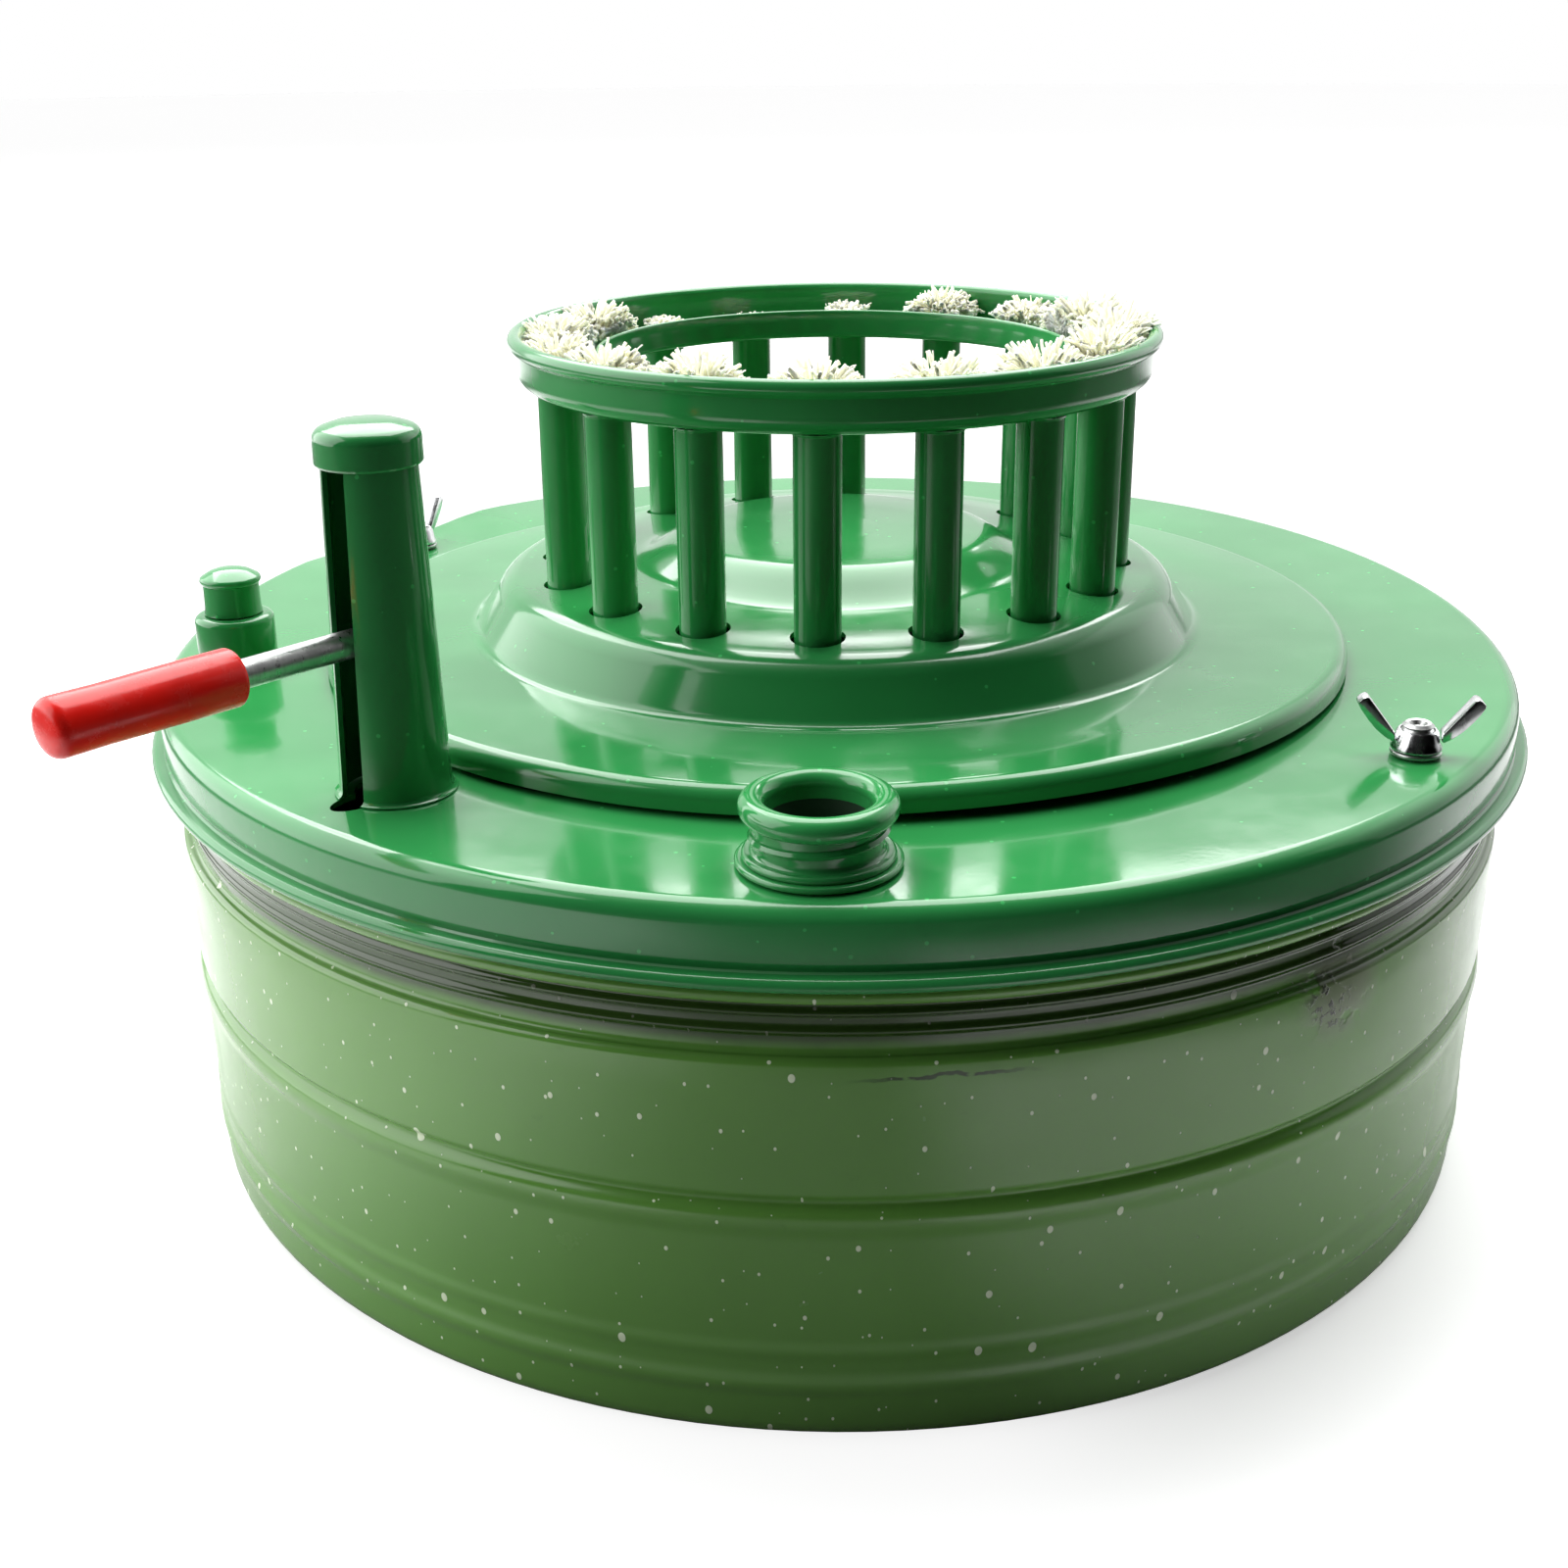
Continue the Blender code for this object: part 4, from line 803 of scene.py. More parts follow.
class StoveLid(bpy.types.Operator):
    """Press the lid: flat top, rounded shoulder, skirt with a rolled edge, and its holes"""

    bl_idname = "stove.lid"
    bl_label = "Lid"

    def execute(self, context):
        """Build it."""
        sizes = context.scene.stove_shells
        burner = context.scene.stove_burner
        fittings = context.scene.stove_fittings
        sheet, top, fillet = sizes.sheet, LID_HIGH.z, sizes.lid_fillet
        roll, skirt = sizes.lid_roll, sizes.skirt_radius
        roll_middle = (LID_HIGH.x - roll, LID_LOW.z + roll)
        path = [(0.0, top), (0.050, top), (0.110, top)]
        path += arc((skirt - fillet, top - fillet), fillet, 90.0, 0.0, 12)
        groove = roll_middle[1] + roll
        path += [(skirt, groove + 0.0020), (skirt - 0.0001, groove + 0.0012)]
        path += [(skirt - 0.0003, groove + 0.0007), (skirt - 0.0003, groove + 0.0003)]
        path += [(skirt + 0.0001, groove)]
        path += arc(roll_middle, roll, 80.0, -180.0, 22)
        path += [(roll_middle[0] - roll - 0.0002, groove - roll * 0.3)]
        path += [(skirt - sheet - 0.0002, groove + 0.0010)]
        path += arc((skirt - fillet, top - fillet), fillet - sheet, 0.0, 90.0, 10)
        path += [(0.110, top - sheet), (0.050, top - sheet), (0.0, top - sheet)]
        cover = spin_profile("lid_cover", path, sizes.steps)
        low, high = top - 0.004, top + 0.003
        post = polar(fittings.post_circle, fittings.post_azimuth)
        filler = polar(fittings.filler_circle, fittings.filler_azimuth)
        gauge = polar(fittings.gauge_circle, fittings.gauge_azimuth)
        studs = [polar(fittings.stud_circle, azimuth) for azimuth, _ in SIDES.values()]
        for name, spots, radius, steps in (
                ("tube_drills", tube_spots(burner), burner.tube_radius + 0.0003, 32),
                ("filler_drill", [filler], fittings.filler_bore, 48),
                ("gauge_drill", [gauge], GAUGE_HOLE, 32), ("post_drill", [post], POST_HOLE, 48),
                ("stud_drills", studs, fittings.stud_radius + 0.0005, 32)):
            cut(cover, drills(name, spots, radius, low, high, steps))
        notch = drills("rod_notch", [(0.0, 0.0)], 1.0, low, high, 40)
        notch.scale = (0.0060, fittings.post_slot * 0.55, 1.0)
        settle(notch, polar(fittings.post_circle + 0.0082, fittings.post_azimuth,
                            notch.location.z), (0.0, 0.0, facing(fittings.post_azimuth)))
        cut(cover, notch)
        for vertex in cover.data.vertices:
            place = vertex.co
            azimuth = math.degrees(math.atan2(place.x, -place.y))
            below = ease((top - sizes.lid_fillet - place.z) / 0.0055)
            place.z -= sizes.lid_sag * below * rib(azimuth, 0.0, 80.0, 1.0)
            behind = ease((abs(azimuth) - 60.0) / 80.0)
            outwards = ease((math.hypot(place.x, place.y) - 0.112) / 0.030)
            away = min((Vector((place.x, place.y, 0.0)) - spot).length for spot in studs)
            place.z += sizes.lid_rise * behind * outwards * (1.0 - below) * ease(
                (away - 0.006) / 0.028)
        on_lid(cover, "tank_lid")
        return {"FINISHED"}


class StovePlate(bpy.types.Operator):
    """Press the burner plate: turned-down edge, pierced dome and the raised disc"""

    bl_idname = "stove.plate"
    bl_label = "Burner plate"

    def execute(self, context):
        """Build it."""
        sizes = context.scene.stove_shells
        burner = context.scene.stove_burner
        sheet, lip, plate = sizes.sheet, sizes.plate_lip, sizes.plate_height
        dome, fillet, outer = sizes.dome_height, sizes.dome_fillet, PLATE_HIGH.x
        path = [(0.0, PLATE_HIGH.z), (0.020, PLATE_HIGH.z)]
        crown, disc, rim = sizes.dome_crown, sizes.disc_radius - 0.0040, dome - 0.0008
        for step in range(25):
            radius = disc + (CROWN_EDGE - disc) * step / 24
            cone = (rim + crown * (CROWN_EDGE - radius) / (CROWN_EDGE - sizes.disc_foot)
                    - crown * 0.22 * ease((radius - 0.056) / 0.0095))
            path.append((radius, min(PLATE_HIGH.z, cone) if radius > sizes.disc_foot else
                         PLATE_HIGH.z + (cone - PLATE_HIGH.z) * ease(
                             (radius - disc) / (sizes.disc_foot - disc))))
        path += arc((sizes.dome_radius - 0.0006, path[-1][1] - fillet + 0.0001), fillet, 81.0,
                    26.0, 14)
        foot = sizes.dome_foot
        path += arc((foot + 0.0012, plate + 0.0032), 0.0032, 204.0, 270.0, 8)
        path += [(foot + 0.012, plate), (outer - lip - 0.012, plate)]
        path += arc((outer - lip, plate - lip), lip, 90.0, 0.0, 10)
        path += [(outer, PLATE_LOW.z + 0.0006)]
        inner = inside_of(path, sheet)[::-1]
        pressing = spin_profile("burner_pressing", inner + path, sizes.steps)
        cut(pressing, drills("dome_drills", tube_spots(burner),
                             burner.tube_radius + burner.hole_slack, dome - 0.004,
                             dome + 0.003))
        for vertex in pressing.data.vertices:
            place = vertex.co
            azimuth = math.degrees(math.atan2(place.x, -place.y))
            share = ease((math.hypot(place.x, place.y) - outer + 0.016) / 0.016)
            place.z += sizes.plate_gap * share * rib(azimuth, 24.0, 46.0, 1.0)
        on_lid(pressing, "burner_plate")
        return {"FINISHED"}


class StoveTrough(bpy.types.Operator):
    """Press the annular wick trough with its beaded rim and the holes in its floor"""

    bl_idname = "stove.trough"
    bl_label = "Wick trough"

    def execute(self, context):
        """Build it."""
        sizes = context.scene.stove_burner
        sheet = context.scene.stove_shells.sheet
        outer, inner, bead = sizes.trough_radius, sizes.trough_bore, sizes.trough_bead
        base, top, fillet = TROUGH_LOW.z, TROUGH_HIGH.z, sizes.trough_fillet
        inner_top = base + sizes.inner_wall
        path = arc((outer, top - bead), bead, 170.0, -70.0, 20)
        path += [(outer, top - 2.0 * bead - 0.0004), (outer, base + fillet + 0.0020)]
        path += arc((outer - fillet, base + fillet), fillet, 0.0, -90.0, 10)
        path += arc((inner + 0.0012, base + 0.0012), 0.0012, 270.0, 180.0, 5)
        path += arc((inner + sheet / 2, inner_top - sheet / 2), sheet / 2, 180.0, 0.0, 6)
        path += arc((inner + 0.0014, base + 0.0014), 0.0004, 180.0, 270.0, 3)
        path += arc((outer - fillet, base + fillet), fillet - sheet, -90.0, 0.0, 8)
        path += [(outer - sheet, top - 2.2 * bead)]
        pan = spin_profile("trough_pan", path, 128)
        cut(pan, drills("trough_drills", tube_spots(sizes), sizes.tube_bore, base - 0.003,
                        base + 0.004))
        on_lid(pan, "wick_trough")
        return {"FINISHED"}


class StoveTubes(bpy.types.Operator):
    """Turn one wick tube with its solder fillet, and copy it round the burner"""

    bl_idname = "stove.tubes"
    bl_label = "Wick tubes"

    def execute(self, context):
        """Build them."""
        sizes = context.scene.stove_burner
        low, high = TUBE_LOW.z, TUBE_HIGH.z
        bore, outer, solder = sizes.tube_bore, sizes.tube_radius, sizes.solder
        high += 0.0002
        path = [(bore, high), (outer + solder, high)]
        path += arc((outer + solder, high - solder - 0.0003), solder, 100.0, 180.0, 6)
        path += [(outer, (low + high) / 2), (outer, low + 0.0003), (outer - 0.0003, low),
                 (bore + 0.0002, low), (bore, low + 0.0002), (bore, (low + high) / 2)]
        first = spin_profile("pipe", path, 36)
        for index, azimuth in enumerate(tube_azimuths(sizes)):
            label = f"{index + 1:02d}"
            pipe = copy_of(first, "pipe_" + label)
            settle(pipe, polar(sizes.circle, azimuth), (0.0, 0.0, facing(azimuth)))
            on_lid(pipe, "wick_tube_" + label)
        bpy.data.objects.remove(first, do_unlink=True)
        return {"FINISHED"}


# How far each wick's tuft spreads, the length of its yarns and their number, from the
# front tube round by the right
TUFTS = [(0.85, 0.0126, 250), (0.95, 0.0130, 300), (0.95, 0.0134, 300), (1.05, 0.0138, 380),
         (1.10, 0.0143, 420), (1.05, 0.0142, 400), (0.80, 0.0096, 220), (0.90, 0.0100, 260),
         (0.55, 0.0058, 80), (0.30, 0.0034, 30), (0.45, 0.0046, 50), (1.05, 0.0118, 330),
         (1.10, 0.0124, 380), (1.00, 0.0118, 320), (0.90, 0.0126, 280), (1.10, 0.0136, 380)]


def draw_strands(name, strands, radius, sides):
    """Round strands along lists of points, each with its own thickness at every point."""
    curve = bpy.data.curves.new(name, "CURVE")
    curve.dimensions = "3D"
    curve.bevel_depth = radius
    curve.bevel_resolution = sides
    curve.use_fill_caps = True
    for points in strands:
        spline = curve.splines.new("POLY")
        spline.points.add(len(points) - 1)
        for knot, (place, girth) in zip(spline.points, points):
            knot.co = (*place, 1.0)
            knot.radius = girth
    piece = bpy.data.objects.new(name, curve)
    bpy.context.collection.objects.link(piece)
    pick(piece)
    bpy.ops.object.convert(target="MESH")
    return name_piece(bpy.context.object, name)


def plies(sizes, low, high):
    """The twisted plies of a wick, from its lower end to its tuft."""
    strands = []
    steps = int((high - low) / sizes.ply_pitch * 11)
    for ply in range(4):
        points = []
        for step in range(steps + 1):
            share = step / steps
            angle = math.radians(90.0 * ply) + 2.0 * math.pi * (high - low) * share \
                / sizes.ply_pitch
            reach = sizes.ply_radius * 1.02
            points.append((Vector((reach * math.cos(angle), reach * math.sin(angle),
                                   low + (high - low) * share)), 1.0))
        strands.append(points)
    return strands


def yarns(sizes, chance, spread, reach, number):
    """Frayed yarns that leave a tube's mouth and fall outwards in the trough."""
    strands = []
    floor = TROUGH_LOW.z + 0.0018
    half_wide = (sizes.trough_radius - sizes.trough_bore) / 2 - 0.0022
    for index in range(number):
        azimuth = 2.0 * math.pi * (index * 0.618 + chance.uniform(-0.06, 0.06))
        share = math.sqrt((index + 0.5) / number)
        lean = math.radians(6.0 + 70.0 * spread * share * chance.uniform(0.80, 1.10))
        whole = reach * (0.92 - 0.12 * share + chance.choice((0.0, 0.0, 0.02, 0.06))
                         - chance.uniform(0.0, 0.12))
        start = 0.0030 * share
        girth = chance.choice((1.0, 1.15, 0.9, 0.8, 0.4))
        curl = chance.uniform(0.00010, 0.00040) / girth
        phase, turns = chance.uniform(0.0, 6.28), chance.uniform(0.8, 2.4)
        drift = chance.uniform(-0.5, 0.5)
        steps = 15
        out, height = start, floor
        points = []
        for step in range(steps + 1):
            along = step / steps
            angle = lean * (0.35 + 0.95 * along) + 0.25 * along ** 2
            if step:
                out += whole / steps * math.sin(angle)
                height += whole / steps * math.cos(angle)
            height = max(height, floor + 0.0003)
            turn = azimuth + drift * along
            swing = curl * math.sin(phase + turns * 2.0 * math.pi * along)
            place = Vector((out * math.cos(turn) - swing * math.sin(turn),
                            out * math.sin(turn) + swing * math.cos(turn),
                            height + curl * math.cos(phase + 9.0 * along)))
            if place.z < TROUGH_HIGH.z + 0.0006:
                place.x = max(min(place.x, half_wide), -half_wide)
            knob = 1.0 + (0.13 if step % 2 else -0.10)
            points.append((place, girth * knob * (1.0 if step < steps else 0.80)))
        strands.append(points)
    return strands


class StoveWicks(bpy.types.Operator):
    """Twist sixteen cotton wicks, and fray the end of each in the trough"""

    bl_idname = "stove.wicks"
    bl_label = "Wicks"

    def execute(self, context):
        """Build them."""
        sizes = context.scene.stove_burner
        rope = draw_strands("ply", plies(sizes, WICK_LOW.z, TROUGH_LOW.z + 0.0010),
                            sizes.ply_radius, 2)
        for index, azimuth in enumerate(tube_azimuths(sizes)):
            label = f"{index + 1:02d}"
            chance = random.Random(300 + index)
            placing = (polar(sizes.circle, azimuth), (0.0, 0.0, facing(azimuth)))
            wick = settle(smooth(copy_of(rope, "twisted_wick_" + label), 60.0), *placing)
            hand_over(wick, "wick_lifter", "wick_cotton", finish_of("cotton_yarn"),
                      "wick_" + label)
            strands = yarns(sizes, chance, *TUFTS[index])
            tuft = draw_strands("frayed_tuft_" + label, strands, sizes.yarn_radius, 1)
            settle(smooth(tuft, 60.0), *placing)
            tuft.data.materials.clear()
            tuft.data.materials.append(finish_of("cotton_yarn"))
            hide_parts("wick_" + label)
            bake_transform(tuft)
        bpy.data.objects.remove(rope, do_unlink=True)
        return {"FINISHED"}


class StoveCarrier(bpy.types.Operator):
    """Press the flanged ring that grips the wicks, and finish its strap and rivet"""

    bl_idname = "stove.carrier"
    bl_label = "Wick carrier"

    def execute(self, context):
        """Build it."""
        sizes = context.scene.stove_burner
        fittings = context.scene.stove_fittings
        outer, inner = CARRIER_HIGH.x, 0.04865
        top, low = CARRIER_HIGH.z, CARRIER_LOW.z
        path = [(inner, top - 0.0003), (inner + 0.0003, top)]
        path += arc((outer - 0.0022, top - 0.0022), 0.0022, 90.0, 0.0, 6)
        path += [(outer, low), (outer - 0.0015, low)]
        path += arc((outer - 0.0022, top - 0.0022), 0.0007, 0.0, 90.0, 4)
        path += [(inner, top - 0.0015)]
        ring = spin_profile("wick_ring", path, 96)
        cut(ring, drills("wick_drills", tube_spots(sizes), 0.0035, low, top + 0.003, 24))
        spot = polar(outer - 0.0048, fittings.post_azimuth)
        cut(ring, drills("rivet_drill", [spot], 0.0017, low, top + 0.003, 24))
        hand_over(ring, "wick_lifter", "plain_steel", finish_of("bare_steel"), "wick_carrier")
        refinish(finish_of("bare_steel"), "lifter_strap")
        refinish(finish_of("bright_zinc"), "carrier_rivet")
        return {"FINISHED"}


class StovePost(bpy.types.Operator):
    """Roll the tapered lever post with its slot, and press its cap"""

    bl_idname = "stove.post"
    bl_label = "Lever post"

    def execute(self, context):
        """Build it."""
        sizes = context.scene.stove_fittings
        sheet = context.scene.stove_shells.sheet
        top, low = POST_HIGH.z, POST_LOW.z
        foot, head = sizes.post_foot, sizes.post_top
        path = [(head - sheet, top), (head, top), (foot - 0.0001, low + 0.0030)]
        path += arc((foot + 0.0011, low + 0.0011), 0.0011, 176.0, 262.0, 6)
        path += [(foot + 0.0009, low), (foot - sheet, low)]
        post = spin_profile("slotted_post", path, 72)
        half = sizes.post_slot / 2
        cut(post, block("slot_cutter", (0.0, -half, low - 0.002),
                        (foot + 0.004, half, top + 0.002)))
        soften(post, 0.00022, 2, 50.0)
        placing = {"at": polar(sizes.post_circle, sizes.post_azimuth),
                   "turn": (0.0, 0.0, facing(sizes.post_azimuth))}
        settle(post, **placing)
        on_lid(post, "lever_post")
        cap, high, edge = sizes.cap_radius, CAP_HIGH.z, CAP_LOW.z
        path = [(0.0, high), (0.0030, high - 0.0001), (0.0055, high - 0.0004)]
        path += arc((cap - 0.0022, high - 0.0032), 0.0022, 76.0, 0.0, 8)
        path += [(cap, edge + 0.0004), (cap - 0.0003, edge), (cap - 0.0008, edge),
                 (cap - sheet, edge + 0.0003)]
        path += arc((cap - 0.0024, high - 0.0034), 0.0014, 0.0, 80.0, 5)
        path += [(0.0, high - 0.0012)]
        on_lid(settle(spin_profile("crowned_cap", path, 64), **placing), "post_cap")
        return {"FINISHED"}


class StoveLever(bpy.types.Operator):
    """Turn the lever with its grip, and finish the nuts that hold it"""

    bl_idname = "stove.lever"
    bl_label = "Lever"

    def execute(self, context):
        """Build it."""
        sizes = context.scene.stove_fittings
        lying = {"at": polar(sizes.post_circle, sizes.post_azimuth, sizes.rod_height),
                 "turn": (0.0, math.pi / 2, facing(sizes.post_azimuth))}
        rod, start = sizes.rod_radius, sizes.grip_start
        end = start + sizes.grip_length
        path = [(0.0, -0.0060), (rod - 0.0005, -0.0060), (rod, -0.0055)]
        path += [(rod, 0.0), (rod, start + 0.004), (rod, end - 0.0063),
                 (rod - 0.0006, end - 0.0043), (0.0, end - 0.0043)]
        bar = spin_profile("lever_bar", path, 32)
        settle(bar, **lying)
        hand_over(bar, "wick_lifter", "zinc_plate", finish_of("bright_zinc"), "lever_rod")
        grip = sizes.grip_radius
        path = [(0.0, end), (grip - 0.0025, end - 0.0001)]
        path += arc((grip - 0.0019, end - 0.0022), 0.0019, 80.0, 0.0, 6)
        path += [(grip - 0.0001, end - 0.010), (grip, start + 0.012)]
        path += arc((grip - 0.0009, start + 0.0009), 0.0009, 0.0, -90.0, 5)
        path += arc((rod + 0.0009, start + 0.0006), 0.0006, -90.0, -180.0, 4)
        path += [(rod + 0.0003, end - 0.0040), (0.0, end - 0.0040)]
        sleeve = spin_profile("lever_sleeve", path, 40)
        settle(sleeve, **lying)
        hand_over(sleeve, "wick_lifter", "grip_plastic", finish_of("red_sleeve"),
                  "lever_grip")
        refinish(finish_of("bright_zinc"), "rod_nut_inner", "rod_nut_outer")
        return {"FINISHED"}


class StoveFiller(bpy.types.Operator):
    """Turn the filler neck with its flange, its helical ridges and its curled rim"""

    bl_idname = "stove.filler"
    bl_label = "Filler neck"

    def execute(self, context):
        """Build it."""
        sizes = context.scene.stove_fittings
        low, top = FILLER_LOW.z, FILLER_HIGH.z
        bore = sizes.filler_bore
        outer = bore + sizes.filler_wall
        lip = sizes.filler_lip
        path = arc((outer + 0.0023 - lip, top - lip), lip, 200.0, -60.0, 22)
        path += [(outer, top - 1.9 * lip), (outer, low + 0.0040)]
        path += arc((outer + 0.0006, low + 0.0030), 0.0008, 180.0, 265.0, 5)
        path += arc((outer + 0.0011, low + 0.0017), 0.0007, 70.0, -60.0, 7)
        path += arc((outer + 0.0024, low + 0.0006), 0.0006, 110.0, -60.0, 7)
        path += [(outer + 0.0012, low), (bore, low), (bore, low + 0.0060)]
        neck = spin_profile("threaded_neck", path, 72)
        ridge = start_line("ridge", [(outer - 0.0004, 0.0, -0.0009), (outer + 0.0004, 0.0,
                                                                     -0.0006),
                                     (outer + 0.0008, 0.0, 0.0), (outer + 0.0004, 0.0, 0.0006),
                                     (outer - 0.0004, 0.0, 0.0009)])
        bpy.ops.object.mode_set(mode="OBJECT")
        pitch = 0.0032
        change(ridge, "SCREW", axis="Z", steps=90, render_steps=90, angle=2.0 * math.pi * 1.7,
               screw_offset=pitch * 1.7, use_merge_vertices=False)
        pick(ridge)
        bpy.ops.object.mode_set(mode="EDIT")
        bpy.ops.mesh.select_all(action="SELECT")
        bpy.ops.mesh.normals_make_consistent(inside=False)
        bpy.ops.object.mode_set(mode="OBJECT")
        settle(ridge, (0.0, 0.0, low + 0.0040), (0.0, 0.0, math.radians(200.0)))
        neck = together([neck, smooth(ridge)], "threaded_neck")
        settle(neck, polar(sizes.filler_circle, sizes.filler_azimuth),
               (0.0, 0.0, facing(sizes.filler_azimuth)))
        hand_over(neck, "lid", "lid_enamel", finish_of("neck_enamel"), "filler_neck")
        return {"FINISHED"}


class StoveGauge(bpy.types.Operator):
    """Turn the gauge's housing, its cap and the cork float, and finish the guide"""

    bl_idname = "stove.gauge"
    bl_label = "Fuel gauge"

    def execute(self, context):
        """Build it."""
        sizes = context.scene.stove_fittings
        spot = {"at": polar(sizes.gauge_circle, sizes.gauge_azimuth)}
        low, top, body = GAUGE_LOW.z, GAUGE_HIGH.z, sizes.gauge_radius
        hole = 0.0021
        path = [(hole, top), (body - 0.0016, top)]
        path += arc((body - 0.0014, top - 0.0014), 0.0014, 84.0, 0.0, 7)
        path += [(body, low + 0.0030)]
        path += arc((body + 0.0012, low + 0.0018), 0.0012, 180.0, 262.0, 6)
        path += [(body + 0.0014, low), (hole, low)]
        housing = spin_profile("gauge_body", path, 64)
        settle(housing, **spot)
        on_lid(housing, "gauge_housing")
        low, top, cap = GAUGE_CAP_LOW.z, GAUGE_CAP_HIGH.z, sizes.gauge_cap_radius
        path = [(0.0, top), (cap * 0.35, top - 0.0001), (cap * 0.70, top - 0.0006)]
        path += arc((cap - 0.0004, top - 0.0024), 0.0009, 70.0, -70.0, 8)
        path += [(cap, low + 0.0012), (cap + 0.0002, low), (cap - 0.0010, low),
                 (cap - 0.0010, top - 0.0030), (cap * 0.5, top - 0.0016),
                 (0.0, top - 0.0011)]
        dome = spin_profile("gauge_dome", path, 56)
        settle(dome, **spot)
        on_lid(dome, "gauge_cap")
        low, top, wide = FLOAT_LOW.z, FLOAT_HIGH.z, 0.0056
        path = [(hole, top), (hole + 0.0010, top)]
        path += arc((wide - 0.0012, top - 0.0012), 0.0012, 90.0, 0.0, 4)
        path += arc((wide - 0.0012, low + 0.0012), 0.0012, 0.0, -90.0, 4)
        path += [(hole, low)]
        float_piece = spin_profile("cork_float", path, 40)
        settle(float_piece, **spot)
        hand_over(float_piece, "gauge_float", "float_cork", finish_of("float_granules"),
                  "gauge_float")
        refinish(finish_of("guide_brass"), "gauge_guide")
        return {"FINISHED"}


def stamped_nut(sizes):
    """A wing nut on the origin: turned hub, and two flat wings beside it.

    The insets act on the whole wing, because choosing both caps in vertex mode chooses its
    sides too. So each wing comes out about 0.7 mm smaller all round than its outline, has
    no raised rim and ends 0.36 mm short of the hub.
    """
    half = sizes.wing_thickness / 2
    outline = [(0.0035, 0.0011), (0.0046, 0.0006), (0.0064, 0.0016), (0.0082, 0.0031),
               (0.0099, 0.0050), (0.0112, 0.0068), (0.0120, 0.0082), (0.0120, 0.0092),
               (0.0110, 0.0102), (0.0100, 0.0107), (0.0090, 0.0104), (0.0064, 0.0070),
               (0.0041, 0.0040), (0.0035, 0.0033)]
    wings = []
    for side in (1.0, -1.0):
        points = [(side * across, -half, up) for across, up in outline]
        wing = start_line("wing", points + points[:1])
        bpy.ops.mesh.select_all(action="SELECT")
        bpy.ops.mesh.remove_doubles(threshold=MERGE)
        bpy.ops.mesh.edge_face_add()
        bpy.ops.mesh.extrude_region_move(
            TRANSFORM_OT_translate={"value": (0.0, 2.0 * half, 0.0)})
        tidy_mesh()
        bpy.ops.mesh.select_all(action="DESELECT")
        bpy.ops.object.mode_set(mode="OBJECT")
        for face in wing.data.polygons:
            face.select = abs(face.normal.y) > 0.9
        bpy.ops.object.mode_set(mode="EDIT")
        bpy.ops.mesh.select_mode(type="FACE")
        bpy.ops.mesh.inset(thickness=sizes.wing_rim, depth=0.0)
        bpy.ops.mesh.inset(thickness=0.0003, depth=-0.0007)
        bpy.ops.mesh.select_mode(type="VERT")
        bpy.ops.object.mode_set(mode="OBJECT")
        wings.append(soften(wing, 0.0003, 2, 35.0))
    bore = sizes.stud_radius + 0.0002
    path = [(bore, 0.0036), (0.0034, 0.0036), (0.0038, 0.0032), (0.0042, 0.0012),
            (0.0047, 0.0004), (0.0047, 0.0), (bore, 0.0)]
    hub = spin_profile("hub", path, 40)
    return smooth(together([hub] + wings, "nut"))


def threaded_stud(sizes):
    """A lid stud: forged head, shank with a turned thread, and a dimpled end."""
    top, head = STUD_HIGH.z, STUD_LOW.z + 0.0036
    core = sizes.stud_radius
    path = [(0.0, top - 0.0009), (core * 0.34, top - 0.0008), (core * 0.56, top - 0.0001),
            (core * 0.80, top)]
    height = top - 0.0005
    while height > top - 0.0120:
        path += [(core, height), (core - 0.00028, height - 0.0004)]
        height -= 0.0008
    path += [(core, height - 0.0004), (core, head)]
    path += arc((0.0046, head - 0.0004), 0.0004, 90.0, 0.0, 3)
    path += [(0.0050, STUD_LOW.z + 0.0006), (0.0044, STUD_LOW.z), (0.0, STUD_LOW.z)]
    return spin_profile("threaded_stud", path, 32)


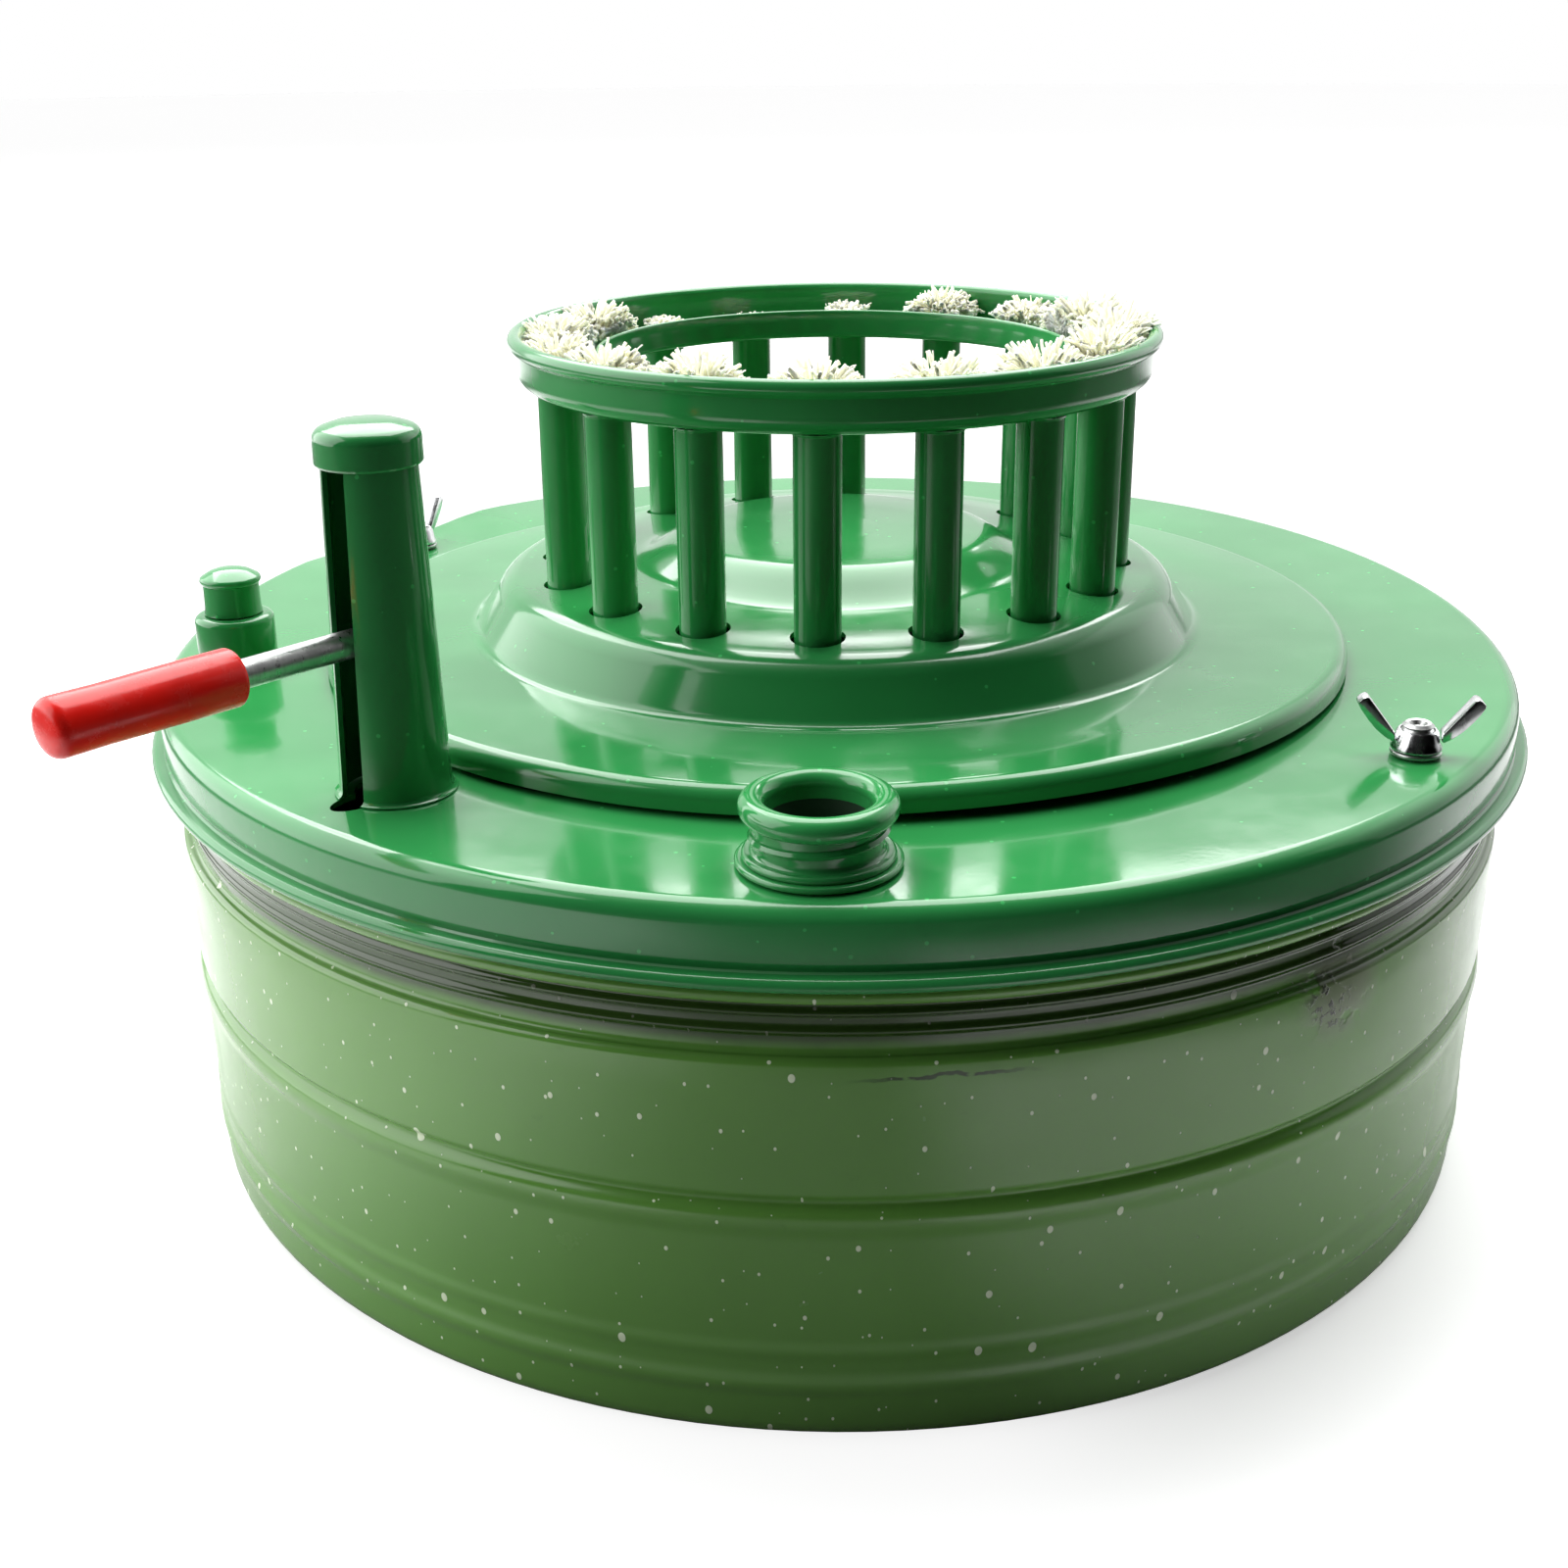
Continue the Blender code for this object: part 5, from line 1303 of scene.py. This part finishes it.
class StoveFastenings(bpy.types.Operator):
    """Stamp the wing nuts, and make their washers and the studs that hold the lid"""

    bl_idname = "stove.fastenings"
    bl_label = "Lid fastenings"

    def execute(self, context):
        """Build them."""
        sizes = context.scene.stove_fittings
        nut, stud = stamped_nut(sizes), threaded_stud(sizes)
        low, high = WASHER_LOW.z, WASHER_HIGH.z
        ring = (WASHER_HIGH.x - WASHER_LOW.x) / 2 - 0.0020
        path = [(0.0032, high - 0.0001), (0.0034, high), (ring - 0.0004, high)]
        path += arc((ring - 0.0004, (low + high) / 2), (high - low) / 2, 80.0, -80.0, 6)
        path += [(0.0034, low), (0.0032, low + 0.0001)]
        washer = spin_profile("pressed_washer", path, 48)
        for side, (azimuth, turn) in SIDES.items():
            spot = polar(sizes.stud_circle, azimuth)
            angle = facing(azimuth)
            wing = settle(copy_of(nut, "stamped_nut_" + side),
                          (spot.x, spot.y, NUT_LOW.z), (0.0, 0.0, angle + math.radians(turn)))
            hand_over(wing, "wing_nut_" + side, "wing_nut_chrome", finish_of("nut_chrome"),
                      "wing_nut_" + side)
            bolt = settle(copy_of(stud, "threaded_stud_" + side), spot, (0.0, 0.0, angle))
            hand_over(bolt, "tank", "zinc_plate", finish_of("bright_zinc"),
                      "lid_stud_" + side)
            disc = settle(copy_of(washer, "pressed_washer_" + side), spot)
            hand_over(disc, "lid", "zinc_plate", finish_of("bright_zinc"),
                      "lid_washer_" + side)
            refinish(finish_of("bare_steel"), "stud_bracket_" + side)
        for piece in (nut, stud, washer):
            bpy.data.objects.remove(piece, do_unlink=True)
        return {"FINISHED"}


# The studio


def softbox(name, place, target, width, height, power):
    """A rectangular lamp that faces a target."""
    deselect()
    bpy.ops.object.light_add(type="AREA", location=place)
    lamp = bpy.context.object
    lamp.name = name
    lamp.data.shape = "RECTANGLE"
    lamp.data.size, lamp.data.size_y = width, height
    lamp.data.energy = power
    lamp.rotation_euler = (Vector(target) - Vector(place)).to_track_quat("-Z", "Y").to_euler()


def room_light():
    """White surroundings that are darker towards the front and the right."""
    world = bpy.data.worlds.new("white_tent")
    bpy.context.scene.world = world
    world.use_nodes = True
    tree = world.node_tree
    for node in list(tree.nodes):
        tree.nodes.remove(node)
    kinds = ("OutputWorld", "TexCoord", "SeparateXYZ", "Math", "Math", "MapRange", "LightPath",
             "Mix", "Background")
    output, place, parts, aside, above, front, path, camera_or_room, light = (
        tree.nodes.new("ShaderNode" + kind) for kind in kinds)
    for node, share in ((aside, DARKER_RIGHT), (above, LIGHTER_ABOVE)):
        node.operation = "MULTIPLY_ADD"
        node.inputs[1].default_value = share
    front.interpolation_type = "SMOOTHSTEP"
    for key, value in ROOM_RANGE.items():
        front.inputs[key].default_value = value
    light.inputs["Color"].default_value = (*WHITE, 1.0)
    camera_or_room.data_type = "FLOAT"
    camera_or_room.inputs[3].default_value = 1.0
    for source, output_key, goal, input_key in (
            (place, "Generated", parts, 0), (parts, "X", aside, 0), (parts, "Y", aside, 2),
            (parts, "Z", above, 0), (aside, 0, above, 2), (above, 0, front, "Value"),
            (path, "Is Camera Ray", camera_or_room, 0), (front, 0, camera_or_room, 2),
            (camera_or_room, 0, light, "Strength"), (light, 0, output, "Surface")):
        tree.links.new(source.outputs[output_key], goal.inputs[input_key])


class StoveStage(bpy.types.Operator):
    """Lay the floor and set the lamps, the surroundings and the camera"""

    bl_idname = "stove.stage"
    bl_label = "Studio"

    def execute(self, context):
        """Build it."""
        deselect()
        bpy.ops.mesh.primitive_circle_add(vertices=96, radius=6.0, fill_type="NGON")
        floor = name_piece(context.object, "floor")
        cover = Finish("floor_paper")
        grain = cover.noise(8.0, 3.0)
        colour = tuple(context.scene.stove_colours.floor)
        across, along, _ = cover.axes()
        dark = across.between(-0.17, -0.05) * across.between(0.02, 0.08, 0.72, 0.0)
        dark = dark + across.between(0.17, 0.27) * 0.9
        dark = dark * along.between(-0.12, 0.05, 1.0, 0.0)
        reach = cover.sum("SQRT", across * across + along * along)
        far = reach.between(0.42, 0.58) * along.between(0.55, 0.85, 0.9, 0.0)
        dark = dark + (1.0 - dark) * far
        near = (along - across * 0.35).between(-0.40, -0.25) * (1.0 - dark)
        paper = cover.mix(grain, shade(colour, 0.99), shade(colour, 1.01))
        seen = cover.node("ShaderNodeLightPath", output="Is Camera Ray")
        glow = cover.mix(near, WHITE, shade(WHITE, 0.55))
        cover.set(Base_Color=cover.mix(near, shade(colour, 0.05), paper), Roughness=0.9,
                  Specular_IOR_Level=0.1, Emission_Strength=1.0,
                  Emission_Color=cover.mix(seen, BLACK, glow))
        floor.data.materials.append(cover.material)
        room_light()
        for name, (place, width, height, power) in LAMPS.items():
            softbox(name, place, LAMP_TARGET, width, height, power)
        bpy.ops.object.camera_add()
        camera = context.object
        yaw, pitch, roll = (math.radians(value) for value in CAMERA_TURN)
        forward = Vector((math.sin(yaw) * math.cos(pitch), math.cos(yaw) * math.cos(pitch),
                          -math.sin(pitch)))
        right = Vector((math.cos(yaw), -math.sin(yaw), 0.0))
        down = forward.cross(right)
        across = right * math.cos(roll) + down * math.sin(roll)
        below = down * math.cos(roll) - right * math.sin(roll)
        pose = Matrix((across, -below, -forward)).transposed().to_4x4()
        pose.translation = CAMERA_PLACE
        camera.matrix_world = pose
        camera.data.sensor_width = 36.0
        camera.data.lens = CAMERA_LENS
        camera.data.shift_y = CAMERA_SHIFT
        camera.data.clip_start = 0.01
        context.scene.camera = camera
        context.scene.view_settings.view_transform = "Standard"
        return {"FINISHED"}


OPERATORS = [StoveTank, StoveLid, StovePlate, StoveTrough, StoveTubes, StoveWicks,
             StoveCarrier, StovePost, StoveLever, StoveFiller, StoveGauge, StoveFastenings,
             StoveStage]


class StovePanel(bpy.types.Panel):
    """Sizes, colours and the pieces of the stove"""

    bl_idname = "VIEW3D_PT_stove"
    bl_label = "Kerosene wick stove"
    bl_space_type = "VIEW_3D"
    bl_region_type = "UI"
    bl_category = "Stove"

    def draw(self, context):
        """List the pieces, then the sizes and colours."""
        for operator in OPERATORS:
            self.layout.operator(operator.bl_idname)
        for group in GROUPS:
            box = self.layout.box()
            values = getattr(context.scene, group)
            for key in values.bl_rna.properties.keys():
                if key not in ("rna_type", "name"):
                    box.prop(values, key)


GROUPS = {"stove_shells": StoveShellSizes, "stove_burner": StoveBurnerSizes,
          "stove_fittings": StoveFittingSizes, "stove_colours": StoveColours}


def register():
    """Register the classes and the stove's own settings."""
    for group, kind in GROUPS.items():
        bpy.utils.register_class(kind)
        setattr(bpy.types.Scene, group, PointerProperty(type=kind))
    for kind in (*OPERATORS, StovePanel):
        bpy.utils.register_class(kind)


def unregister():
    """Take them out again."""
    for kind in (StovePanel, *reversed(OPERATORS)):
        bpy.utils.unregister_class(kind)
    for group, kind in GROUPS.items():
        delattr(bpy.types.Scene, group)
        bpy.utils.unregister_class(kind)


def main():
    """Build every piece."""
    register()
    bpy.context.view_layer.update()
    for operator in OPERATORS:
        group, name = operator.bl_idname.split(".")
        getattr(getattr(bpy.ops, group), name)()


if __name__ == "__main__":
    main()
